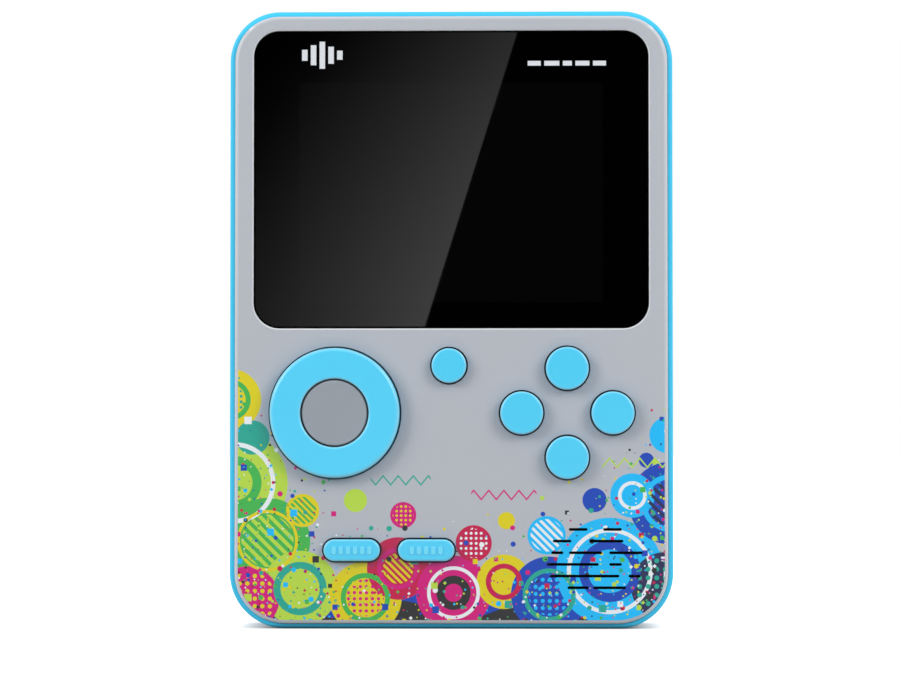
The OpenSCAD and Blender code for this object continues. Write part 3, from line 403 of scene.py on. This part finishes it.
def printBubbles(tree, x, z, spot, colour):
    for midX, midZ, radius, ink in printSetup["bubbles"]:
        colour = inked(tree, colour, ink, calc(tree, "SUBTRACT", radius, farFrom(tree, spot, midX, midZ)))
    for midX, midZ, radius, width, ink in printSetup["rings"]:
        off = calc(tree, "ABSOLUTE", calc(tree, "SUBTRACT", farFrom(tree, spot, midX, midZ), radius))
        colour = inked(tree, colour, ink, calc(tree, "SUBTRACT", width, off))
    for midX, midZ, radius, pattern, pitch, ink in printSetup["fills"]:
        inside = crisp(tree, calc(tree, "SUBTRACT", radius, farFrom(tree, spot, midX, midZ)))
        if pattern == "stripes":
            wide = pitch * printSetup["halfStripe"]
            figure = calc(tree, "SUBTRACT", calc(tree, "PINGPONG", calc(tree, "ADD", x, z), wide), wide / 2)
        else:
            cell = [calc(tree, "WRAP", value, -pitch / 2, pitch / 2) for value in (x, z)]
            away = farFrom(tree, flatSpot(tree, *cell), 0, 0)
            figure = calc(tree, "SUBTRACT", pitch * printSetup["dotRadius"], away)
        colour = inked(tree, colour, ink, figure, inside)
    return colour


def printZigzags(tree, x, z, colour):
    for height, swing, tooth, width, start, end, ink in printSetup["zigzags"]:
        teeth = calc(tree, "PINGPONG", x, tooth)
        line = calc(tree, "MULTIPLY_ADD", teeth, 2 * swing / tooth, height - swing)
        off = calc(tree, "ABSOLUTE", calc(tree, "SUBTRACT", z, line))
        span = calc(tree, "MULTIPLY", calc(tree, "GREATER_THAN", x, start), calc(tree, "LESS_THAN", x, end))
        colour = inked(tree, colour, ink, calc(tree, "SUBTRACT", width, off), span)
    return colour


def inkRamp(tree, value):  # one of the confetti's inks for each value from 0 to 1
    made = addNode(tree, "ShaderNodeValToRGB", {"Fac": value})
    names = printSetup["confettiInks"]
    steps = made.color_ramp.elements
    made.color_ramp.interpolation = "CONSTANT"
    while len(steps) < len(names):
        steps.new(0.5)
    for index, name in enumerate(names):
        steps[index].position = index / len(names)
        steps[index].color = inks[name]
    return made.outputs["Color"]


def printConfetti(tree, spot, colour):
    low, rise, late = printSetup["reach"]
    half = printSetup["halfWidth"]
    for pitch, least, most, shape, shift, share in printSetup["confetti"]:
        inputs = {0: spot, 1: (shift, shift, 0)}
        moved = addNode(tree, "ShaderNodeVectorMath", inputs, operation="ADD").outputs[0]
        inputs = {"Vector": moved, "Scale": 1 / pitch, "Randomness": printSetup["loose"]}
        flat = {"voronoi_dimensions": "2D", "distance": shape}
        flake = addNode(tree, "ShaderNodeTexVoronoi", inputs, **flat).outputs
        chance = addNode(tree, "ShaderNodeSeparateColor", {0: flake["Color"]}).outputs
        middle = addNode(tree, "ShaderNodeSeparateXYZ", {0: flake["Position"]}).outputs
        side = calc(tree, "ABSOLUTE", calc(tree, "MULTIPLY_ADD", middle["X"], 1 / half, -shift / half))
        reach = calc(tree, "MULTIPLY_ADD", calc(tree, "POWER", side, late), rise, low)
        room = calc(tree, "SUBTRACT", reach, calc(tree, "SUBTRACT", middle["Y"], shift))
        odds = calc(tree, "MULTIPLY", room, share / printSetup["fadeMm"], clamp=True)
        kept = calc(tree, "LESS_THAN", chance["Green"], odds)
        size = spread(tree, chance["Red"], least / pitch, most / pitch)
        inside = calc(tree, "MULTIPLY", calc(tree, "SUBTRACT", size, flake["Distance"]), pitch)
        cover = calc(tree, "MULTIPLY", crisp(tree, inside), kept)
        colour = layer(tree, colour, inkRamp(tree, chance["Blue"]), cover)
    return colour


def facePrint(tree, place, gray):
    x, depth, z = inMm(tree, place)
    spot = flatSpot(tree, x, z)
    onFace = calc(tree, "LESS_THAN", depth, boxMm("front_shell")[0].y + faceSetup["printDepthMm"])
    colour = printBubbles(tree, x, z, spot, printWaves(tree, x, z, gray))
    colour = printConfetti(tree, spot, printZigzags(tree, x, z, colour))
    inWidth = calc(tree, "LESS_THAN", calc(tree, "ABSOLUTE", x), openingSetup["halfX"])
    inHeight = calc(tree, "COMPARE", z, openingSetup["middle"], openingSetup["halfHeight"])
    field = calc(tree, "MULTIPLY", inWidth, inHeight)
    # the walls of the openings take the painted shade
    walls = calc(tree, "MULTIPLY", field, calc(tree, "SUBTRACT", 1.0, onFace))
    # painted highlight along the face's rounded edges, stronger round the lens opening
    low, high, middle = boxMm("screen_lens")
    size = high - low
    more = 2 * faceSetup["lensEdgeMm"]
    atLens = rectMask(tree, x, z, middle.x, middle.z, size.x + more, size.z + more)
    share = spread(tree, atLens, faceSetup["edgeShare"], faceSetup["lensEdgeShare"])
    highlighted = paintedEdgeHighlight(tree, gray, faceSetup["edge"], share)
    shadeNearKeys = closedIn(tree, faceSetup["keyShadeMm"], faceSetup["keyShadeShare"])  # painted soft shade round the keys
    colour = layer(tree, colour, faceSetup["keyShade"], calc(tree, "MULTIPLY", shadeNearKeys, field))
    return layer(tree, layer(tree, highlighted, colour, onFace), openingSetup["shade"], walls)


def faceFinish():
    made, tree, skin, place = newFinish("printedFace")
    speck = noise(tree, place, faceSetup["grainMm"], 2)
    cloud = noise(tree, place, faceSetup["cloudMm"], 2)
    gray = layer(tree, faceSetup["gray"], darker(faceSetup["gray"], faceSetup["drift"]), cloud)
    plug(tree, skin.inputs["Base Color"], facePrint(tree, place, gray))
    plug(tree, skin.inputs["Roughness"], spread(tree, speck, *faceSetup["rough"]))
    relief(tree, skin, speck, faceSetup["depthMm"])
    return made


# lens: black gloss with a faint picture area and two plain groups of bars
lensSetup = {
    "black": tone(1, 1, 1), "picture": tone(5, 5, 5), "mark": tone(222, 226, 231),
    "rough": (0.004, 0.02), "hazeMm": 9, "flat": 0.95, "specular": 0.5, "ior": 1.5,
    "area": (0, 86.8, 60.5, 43.9),  # middle x and height, width, height, in mm
    "bars": [(-29.2 + 1.75 * i, 114.3, 1.1, tall) for i, tall in enumerate((2.2, 4.0, 5.4, 3.4, 1.8))],
    "dashes": [(x, 112.6, wide, 0.95) for x, wide in ((16.6, 2.6), (20.1, 3.0), (23.2, 1.8), (26.2, 2.8),
                                                      (29.6, 2.6))],
}


def lensFinish():
    made, tree, skin, place = newFinish("lensBlack")
    x, y, z = inMm(tree, place)
    colour = layer(tree, lensSetup["black"], lensSetup["picture"], rectMask(tree, x, z, *lensSetup["area"]))
    for mark in lensSetup["bars"] + lensSetup["dashes"]:
        colour = layer(tree, colour, lensSetup["mark"], rectMask(tree, x, z, *mark))
    plug(tree, skin.inputs["Base Color"], colour)
    haze = noise(tree, place, lensSetup["hazeMm"], 4)
    plug(tree, skin.inputs["Roughness"], spread(tree, haze, *lensSetup["rough"]))
    skin.inputs["IOR"].default_value = lensSetup["ior"]
    flat = calc(tree, "GREATER_THAN", facing(tree), lensSetup["flat"])  # its ground edge is dull
    plug(tree, skin.inputs["Specular IOR Level"], calc(tree, "MULTIPLY", flat, lensSetup["specular"]))
    return made


# keys: gloss blue, with a painted highlight along their edges, and painted shade where their skirts stand
# under the face
keySetup = {"blue": tone(76, 211, 252), "gloss": {"rough": 0.24, "depthMm": 0.004, "specular": 0.6},
            "edge": tone(176, 236, 255), "edgeShare": 0.5, "shade": tone(12, 20, 26), "underMm": 0.15}


def keyFinish():
    made = moulded("keyBlue", keySetup["blue"], **keySetup["gloss"])
    tree, base, plain, (x, y, z) = opened(made)
    # painted shade on the skirts below the face
    under = calc(tree, "GREATER_THAN", y, boxMm("front_shell")[0].y + keySetup["underMm"])
    highlighted = paintedEdgeHighlight(tree, plain, keySetup["edge"], keySetup["edgeShare"])
    plug(tree, base, layer(tree, highlighted, keySetup["shade"], under))
    return made


# direction pad: as the keys, falling off to shade down the wall of its middle hole
padSetup = {"blue": tone(80, 214, 255), "holeMm": 6.95, "lipMm": 0.5, "shade": tone(12, 26, 34)}


def padFinish():
    made = moulded("padBlue", padSetup["blue"], **keySetup["gloss"])
    tree, base, plain, (x, y, z) = opened(made)
    low, high, middle = boxMm("dpad_ring")
    away = farFrom(tree, flatSpot(tree, x, z), middle.x, middle.z)
    inHole = calc(tree, "LESS_THAN", away, padSetup["holeMm"])
    deep = calc(tree, "GREATER_THAN", y, low.y + padSetup["lipMm"])
    highlighted = paintedEdgeHighlight(tree, plain, keySetup["edge"], keySetup["edgeShare"])
    plug(tree, base, layer(tree, highlighted, padSetup["shade"], calc(tree, "MULTIPLY", inHole, deep)))
    return made


# cap of the pad: satin gray, with a painted highlight along its edge
capSetup = {"gray": tone(150, 157, 166), "rough": 0.42, "edge": tone(186, 192, 199), "edgeMm": 0.42}


def capFinish():
    made = moulded("capGray", capSetup["gray"], capSetup["rough"])
    tree, base, plain, (x, y, z) = opened(made)
    low, high, middle = boxMm("dpad_cap")
    away = farFrom(tree, flatSpot(tree, x, z), middle.x, middle.z)
    inner = (high.x - low.x) / 2 - capSetup["edgeMm"]
    # painted highlight ring along the cap's rim
    edge = calc(tree, "MULTIPLY_ADD", away, 1 / capSetup["edgeMm"], -inner / capSetup["edgeMm"], clamp=True)
    plug(tree, base, layer(tree, plain, capSetup["edge"], edge))
    return made


# case: bright blue, with a painted contact shadow, a dark line where its lower edge meets what it stands on
caseSetup = {"blue": tone(70, 212, 255), "rough": 0.52, "specular": 0.3,
             "foot": tone(1, 16, 26), "footMm": 0.85, "nearMm": 2.5, "footShare": 1.8}


def caseFinish():
    made = moulded("caseBlue", caseSetup["blue"], caseSetup["rough"], specular=caseSetup["specular"])
    tree, base, plain, (x, y, z) = opened(made)
    # painted contact shadow: darker low down where other surfaces stand close
    low = calc(tree, "MULTIPLY_ADD", z, -1 / caseSetup["footMm"], 1.0, clamp=True)
    dark = calc(tree, "MULTIPLY", low, closedIn(tree, caseSetup["nearMm"], caseSetup["footShare"]))
    plug(tree, base, layer(tree, plain, caseSetup["foot"], dark))
    return made


# battery: dark sleeve, a pale band with a stripe, and plain plus and minus marks by its contacts
batterySetup = {"sleeve": tone(56, 60, 68), "look": {"rough": 0.32, "grainMm": 0.5, "depthMm": 0.003},
                "band": tone(198, 202, 208), "bandAt": 0.36, "bandHigh": 0.34,
                "stripe": tone(228, 150, 44), "stripeMm": 1.2,
                "mark": tone(214, 217, 221), "markX": 6.5, "markDrop": 5.5, "markMm": 3.0, "markLine": 0.7}


def batteryFinish():
    made = moulded("batteryCan", batterySetup["sleeve"], **batterySetup["look"])
    tree, base, colour, (x, y, z) = opened(made)
    low, high, middle = boxMm("battery")
    tall = high.z - low.z
    across = 2 * (high.x - low.x)  # past both sides
    bandZ = low.z + tall * batterySetup["bandAt"]
    bandTall = tall * batterySetup["bandHigh"]
    stripeTall = batterySetup["stripeMm"]
    stripeZ = bandZ + bandTall / 2 + stripeTall
    markZ = high.z - batterySetup["markDrop"]
    size, line, off = batterySetup["markMm"], batterySetup["markLine"], batterySetup["markX"]
    marks = [
        ("band", middle.x, bandZ, across, bandTall),
        ("stripe", middle.x, stripeZ, across, stripeTall),
        ("mark", middle.x + off, markZ, size, line),
        ("mark", middle.x + off, markZ, line, size),
        ("mark", middle.x - off, markZ, size, line),
    ]
    for ink, *rect in marks:
        colour = layer(tree, colour, batterySetup[ink], rectMask(tree, x, z, *rect))
    plug(tree, base, colour)
    return made


# thumbwheel: black, with a pale line across its rim that shows how far it is turned
wheelSetup = {"black": tone(30, 31, 34), "rough": 0.42,
              "mark": tone(216, 219, 222), "lineMm": 0.9, "reachMm": 1.2}


def wheelFinish():
    made = moulded("wheelBlack", wheelSetup["black"], wheelSetup["rough"])
    tree, base, plain, (x, y, z) = opened(made)
    low, high, middle = boxMm("volume_wheel")
    line = rectMask(tree, x, z, high.x, middle.z, 2 * wheelSetup["reachMm"], wheelSetup["lineMm"])
    plug(tree, base, layer(tree, plain, wheelSetup["mark"], line))
    return made


# circuit board: green mask with paler traces that come and go, and plated spots
boardSetup = {"mask": tone(24, 98, 60), "trace": tone(52, 138, 88), "plating": tone(206, 176, 104),
              "patchMm": 7, "pitch": 1.3, "width": 0.3, "across": 0.52, "along": 0.46,
              "spotMm": 4.5, "spotSize": 0.09, "rough": (0.28, 0.4), "depthMm": 0.02}


def boardFinish():
    made, tree, skin, place = newFinish("boardGreen")
    x, y, z = inMm(tree, place)
    patch = noise(tree, place, boardSetup["patchMm"], 1)
    pitch, width = boardSetup["pitch"], boardSetup["width"]
    inAcross = calc(tree, "GREATER_THAN", patch, boardSetup["across"])
    inAlong = calc(tree, "LESS_THAN", patch, boardSetup["along"])
    across = calc(tree, "MULTIPLY", lines(tree, x, pitch, width), inAcross)
    along = calc(tree, "MULTIPLY", lines(tree, z, pitch, width), inAlong)
    traces = calc(tree, "MAXIMUM", across, along)
    colour = layer(tree, boardSetup["mask"], boardSetup["trace"], traces)
    plated = calc(tree, "LESS_THAN", cells(tree, place, boardSetup["spotMm"]), boardSetup["spotSize"])
    plug(tree, skin.inputs["Base Color"], layer(tree, colour, boardSetup["plating"], plated))
    plug(tree, skin.inputs["Metallic"], plated)
    plug(tree, skin.inputs["Roughness"], spread(tree, patch, *boardSetup["rough"]))
    relief(tree, skin, traces, boardSetup["depthMm"])
    return made


# speaker cloth: a fine over-and-under weave
clothSetup = {"dark": tone(9, 9, 10), "pale": tone(24, 24, 26), "pace": 21.0, "rough": 0.85,
              "depthMm": 0.05}


def clothFinish():
    made, tree, skin, place = newFinish("speakerCloth")
    x, y, z = inMm(tree, place)
    threads = [calc(tree, "SINE", calc(tree, "MULTIPLY", value, clothSetup["pace"])) for value in (x, z)]
    weave = calc(tree, "MULTIPLY", *threads)
    over = calc(tree, "MULTIPLY_ADD", weave, 0.5, 0.5)
    plug(tree, skin.inputs["Base Color"], layer(tree, clothSetup["dark"], clothSetup["pale"], over))
    skin.inputs["Roughness"].default_value = clothSetup["rough"]
    relief(tree, skin, weave, clothSetup["depthMm"])
    return made


# speaker cone: pressed paper with fine rings round its middle
coneSetup = {"dark": tone(20, 20, 21), "pale": tone(40, 39, 38), "pace": 7.0, "fibreMm": 0.4,
             "fibreRough": 0.7, "rough": 0.8, "depthMm": 0.06}


def coneFinish():
    made, tree, skin, place = newFinish("conePaper")
    middle = boxMm("speaker_cone")[2]
    x, y, z = inMm(tree, place)
    away = farFrom(tree, flatSpot(tree, x, z), middle.x, middle.z)
    rings = calc(tree, "SINE", calc(tree, "MULTIPLY", away, coneSetup["pace"]))
    fibre = noise(tree, place, coneSetup["fibreMm"], 4, coneSetup["fibreRough"])
    plug(tree, skin.inputs["Base Color"], layer(tree, coneSetup["dark"], coneSetup["pale"], fibre))
    skin.inputs["Roughness"].default_value = coneSetup["rough"]
    relief(tree, skin, calc(tree, "ADD", rings, fibre), coneSetup["depthMm"])
    return made


# ribbon cable: amber film with copper tracks running up it
ribbonSetup = {"film": tone(196, 128, 40), "copper": tone(226, 170, 84), "pitch": 0.5, "width": 0.25,
               "rough": (0.22, 0.34), "depthMm": 0.02}


def ribbonFinish():
    made, tree, skin, place = newFinish("ribbonFilm")
    x, y, z = inMm(tree, place)
    tracks = lines(tree, x, ribbonSetup["pitch"], ribbonSetup["width"])
    plug(tree, skin.inputs["Base Color"], layer(tree, ribbonSetup["film"], ribbonSetup["copper"], tracks))
    plug(tree, skin.inputs["Roughness"], spread(tree, tracks, *ribbonSetup["rough"]))
    relief(tree, skin, tracks, ribbonSetup["depthMm"])
    return made


# foam: open cells of two sizes
foamLook = {"dark": tone(34, 34, 37), "pale": tone(72, 72, 77), "cellMm": 0.55, "fineMm": 0.25,
            "rough": 0.95, "specular": 0.15, "depthMm": 0.2}


def foamFinish():
    made, tree, skin, place = newFinish("foam")
    coarse = cells(tree, place, foamLook["cellMm"])
    pores = calc(tree, "MULTIPLY", coarse, noise(tree, place, foamLook["fineMm"], 3))
    plug(tree, skin.inputs["Base Color"], layer(tree, foamLook["dark"], foamLook["pale"], pores))
    skin.inputs["Roughness"].default_value = foamLook["rough"]
    skin.inputs["Specular IOR Level"].default_value = foamLook["specular"]
    relief(tree, skin, coarse, foamLook["depthMm"])
    return made


mouldedLooks = {
    "markBlue": {"colour": tone(116, 226, 255), "rough": 0.5, "depthMm": 0.004},
    "lcdGlass": {"colour": tone(18, 19, 22), "rough": 0.12, "grainMm": 6, "depthMm": 0.001},
    "blackTape": {"colour": tone(22, 22, 23), "rough": 0.8, "grainMm": 0.15, "depthMm": 0.01},
    "whitePlastic": {"colour": tone(228, 227, 220), "rough": 0.45},
    "blackPlastic": {"colour": tone(30, 31, 34), "rough": 0.42},
    "rubber": {"colour": tone(74, 77, 83), "rough": 0.65, "grainMm": 0.3, "depthMm": 0.006},
    "wireRed": {"colour": tone(176, 40, 30), "rough": 0.4},
}
metalLooks = {
    "steel": {"colour": tone(190, 192, 196), "rough": 0.3},
    "brass": {"colour": tone(206, 166, 84), "rough": 0.28},
}
finishes = {
    "printedFace": faceFinish(), "lensBlack": lensFinish(), "keyBlue": keyFinish(), "padBlue": padFinish(),
    "capGray": capFinish(), "caseBlue": caseFinish(), "batteryCan": batteryFinish(),
    "wheelBlack": wheelFinish(), "boardGreen": boardFinish(), "speakerCloth": clothFinish(),
    "conePaper": coneFinish(), "ribbonFilm": ribbonFinish(), "foam": foamFinish(),
}
for name, look in mouldedLooks.items():
    finishes[name] = moulded(name, **look)
for name, look in metalLooks.items():
    finishes[name] = metal(name, **look)
nodeFinish = {
    "front_shell": "printedFace", "rear_shell": "caseBlue", "screen_lens": "lensBlack",
    "lens_tape": "blackTape", "lcd_panel": "lcdGlass", "lcd_backlight": "whitePlastic",
    "lcd_frame": "steel", "lcd_foam_pad": "foam", "lcd_ribbon": "ribbonFilm",
    "lcd_connector": "whitePlastic", "main_board": "boardGreen", "processor": "blackPlastic",
    "memory_chip": "blackPlastic", "dpad_ring": "padBlue", "dpad_cap": "capGray",
    "dpad_pivot_ball": "steel", "dpad_pivot_post": "whitePlastic", "reset_button": "keyBlue",
    "left_menu_button": "keyBlue", "right_menu_button": "keyBlue", "speaker_frame": "blackPlastic",
    "speaker_cone": "conePaper", "speaker_magnet": "steel", "speaker_screen": "speakerCloth",
    "speaker_wires": "wireRed", "battery": "batteryCan", "battery_contacts": "brass",
    "battery_cover": "caseBlue", "power_switch_body": "steel", "power_switch_slider": "blackPlastic",
    "volume_control": "blackPlastic", "volume_wheel": "wheelBlack", "usb_port": "steel",
    "usb_tongue": "blackPlastic", "av_jack": "blackPlastic", "case_screws": "steel",
    "board_screws": "steel",
}
for name, piece in cad.items():
    if name.endswith("_action_button"):
        chosen = "keyBlue"
    elif name.endswith(("_dome", "_domes", "_mat")):
        chosen = "rubber"
    else:
        chosen = nodeFinish[name]
    for slot in piece.material_slots:
        slot.material = finishes[chosen]
print("finishes:", len(finishes), "on", len(cad), "nodes")


# small raised and laid-in rows, each a bar with rounded ends repeated along x
def newGroup(name, sockets):
    group = bpy.data.node_groups.new(name, "GeometryNodeTree")
    for label, kind in sockets.items():
        group.interface.new_socket(name=label, in_out="INPUT", socket_type="NodeSocket" + kind)
    group.interface.new_socket(name="Geometry", in_out="OUTPUT", socket_type="NodeSocketGeometry")
    return group, group.nodes.new("NodeGroupInput").outputs, group.nodes.new("NodeGroupOutput").inputs


barSetup = {"cornerSteps": 6, "merge": 1e-6}
barGroup, given, result = newGroup("barRow", {
    "Count": "Int", "Pitch": "Vector", "Start": "Vector", "Width": "Float", "Height": "Float",
    "Depth": "Float", "Rounding": "Float", "Turn": "Vector", "Material": "Material"})
inputs = {"Width": given["Width"], "Height": given["Height"]}
outline = addNode(barGroup, "GeometryNodeCurvePrimitiveQuadrilateral", inputs).outputs[0]
inputs = {"Curve": outline, "Radius": given["Rounding"], "Count": barSetup["cornerSteps"],
          "Limit Radius": True}
outline = addNode(barGroup, "GeometryNodeFilletCurve", inputs, mode="POLY").outputs[0]
base = addNode(barGroup, "GeometryNodeFillCurve", {"Curve": outline}, mode="NGONS").outputs[0]
inputs = {"Mesh": base, "Offset Scale": given["Depth"]}
raised = addNode(barGroup, "GeometryNodeExtrudeMesh", inputs).outputs[0]
under = addNode(barGroup, "GeometryNodeFlipFaces", {"Mesh": base}).outputs[0]
closed = addNode(barGroup, "GeometryNodeJoinGeometry")
for part in (raised, under):
    barGroup.links.new(part, closed.inputs[0])
inputs = {"Geometry": closed.outputs[0], "Distance": barSetup["merge"]}
bar = addNode(barGroup, "GeometryNodeMergeByDistance", inputs).outputs[0]
inputs = {"Count": given["Count"], "Start Location": given["Start"], "Offset": given["Pitch"]}
row = addNode(barGroup, "GeometryNodeMeshLine", inputs).outputs[0]
inputs = {"Points": row, "Instance": bar, "Rotation": given["Turn"]}
copies = addNode(barGroup, "GeometryNodeInstanceOnPoints", inputs).outputs[0]
copies = addNode(barGroup, "GeometryNodeRealizeInstances", {"Geometry": copies}).outputs[0]
inputs = {"Geometry": copies, "Material": given["Material"]}
painted = addNode(barGroup, "GeometryNodeSetMaterial", inputs).outputs[0]
barGroup.links.new(painted, result["Geometry"])


def makeRows(name, group, rows, body):  # one mesh from several settings of the same node group
    joined = bmesh.new()
    for values in rows:
        carrier = bpy.data.objects.new(name + "Carrier", bpy.data.meshes.new(name + "Carrier"))
        scene.collection.objects.link(carrier)
        modifier = carrier.modifiers.new(group.name, "NODES")
        modifier.node_group = group
        for item in group.interface.items_tree:
            if item.in_out == "INPUT":
                modifier[item.identifier] = values[item.name]
        bpy.context.view_layer.update()
        ready = carrier.evaluated_get(bpy.context.evaluated_depsgraph_get())
        joined.from_mesh(bpy.data.meshes.new_from_object(ready))
        bpy.data.objects.remove(carrier)
    final = bpy.data.meshes.new(name)
    joined.to_mesh(final)
    joined.free()
    final.materials.append(rows[0]["Material"])
    made = bpy.data.objects.new(name, final)
    scene.collection.objects.link(made)
    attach(made, body)


def barRow(setup, count, middle, y, z, depthMm, turn, material):  # what the node group is given for one row
    return {"Count": count, "Pitch": (setup["pitch"] * mm, 0, 0), "Width": setup["width"] * mm,
            "Height": setup["height"] * mm, "Depth": depthMm * mm, "Rounding": setup["rounding"] * mm,
            "Turn": turn, "Material": finishes[material],
            "Start": (middle - (count - 1) / 2 * setup["pitch"] * mm, y, z)}


towardsFront = (math.radians(90), 0, 0)
towardsBack = (math.radians(-90), 0, 0)
dashSetup = {"pitch": 1.42, "width": 0.85, "height": 1.6, "depth": 0.16, "sunk": 0.02, "rounding": 0.36,
             "left_menu": 6, "right_menu": 5}  # in mm, and the number of marks on each key
for side in ("left_menu", "right_menu"):
    low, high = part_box(side + "_button")
    middle = (low + high) / 2
    dashes = barRow(dashSetup, dashSetup[side], middle.x, low.y + dashSetup["sunk"] * mm, middle.z,
                    dashSetup["depth"] + dashSetup["sunk"], towardsFront, "markBlue")
    makeRows(side + "_marks", barGroup, [dashes], side + "_key")

contactSetup = {"count": 12, "pitch": 0.5, "width": 0.28, "height": 2.6, "depth": 0.05, "sunk": 0.03,
                "rounding": 0.05, "below": 1.9}
low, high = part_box("usb_tongue")
middle = (low + high) / 2
sunk = contactSetup["sunk"] * mm
contactZ = high.z - contactSetup["below"] * mm
contacts = []
for turn, y in ((towardsFront, low.y + sunk), (towardsBack, high.y - sunk)):
    contacts.append(barRow(contactSetup, contactSetup["count"], middle.x, y, contactZ,
                           contactSetup["depth"], turn, "brass"))
makeRows("usb_contacts", barGroup, contacts, "case")

# soft pad behind the display: a slab with rolled edges and a slight crown
foamSetup = {"cuts": 14, "crown": 0.12, "inset": 0.04, "sideInset": 0.004, "rollPower": 12, "fill": 0.8}
low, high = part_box("lcd_foam_pad")
middle = (low + high) / 2
half = (high - low) / 2
shape = bmesh.new()
bmesh.ops.create_cube(shape, size=2)
bmesh.ops.subdivide_edges(shape, edges=shape.edges[:], cuts=foamSetup["cuts"], use_grid_fill=True)
side = 1 - foamSetup["sideInset"]
for vert in shape.verts:
    x, y, z = vert.co
    roll = max(abs(x), abs(z)) ** foamSetup["rollPower"]
    thick = (1 - foamSetup["inset"]) * (1 - foamSetup["crown"] * roll)
    vert.co = middle + Vector((x * half.x * side, y * half.y * thick, z * half.z * side))
bmesh.ops.recalc_face_normals(shape, faces=shape.faces[:])
mesh = bpy.data.meshes.new("display_pad")
shape.to_mesh(mesh)
shape.free()
mesh.materials.append(finishes["foam"])
pad = bpy.data.objects.new("display_pad", mesh)
scene.collection.objects.link(pad)
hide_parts("lcd_foam_pad")
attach(pad, "case")
print("pieces: key marks, socket contacts and display pad")
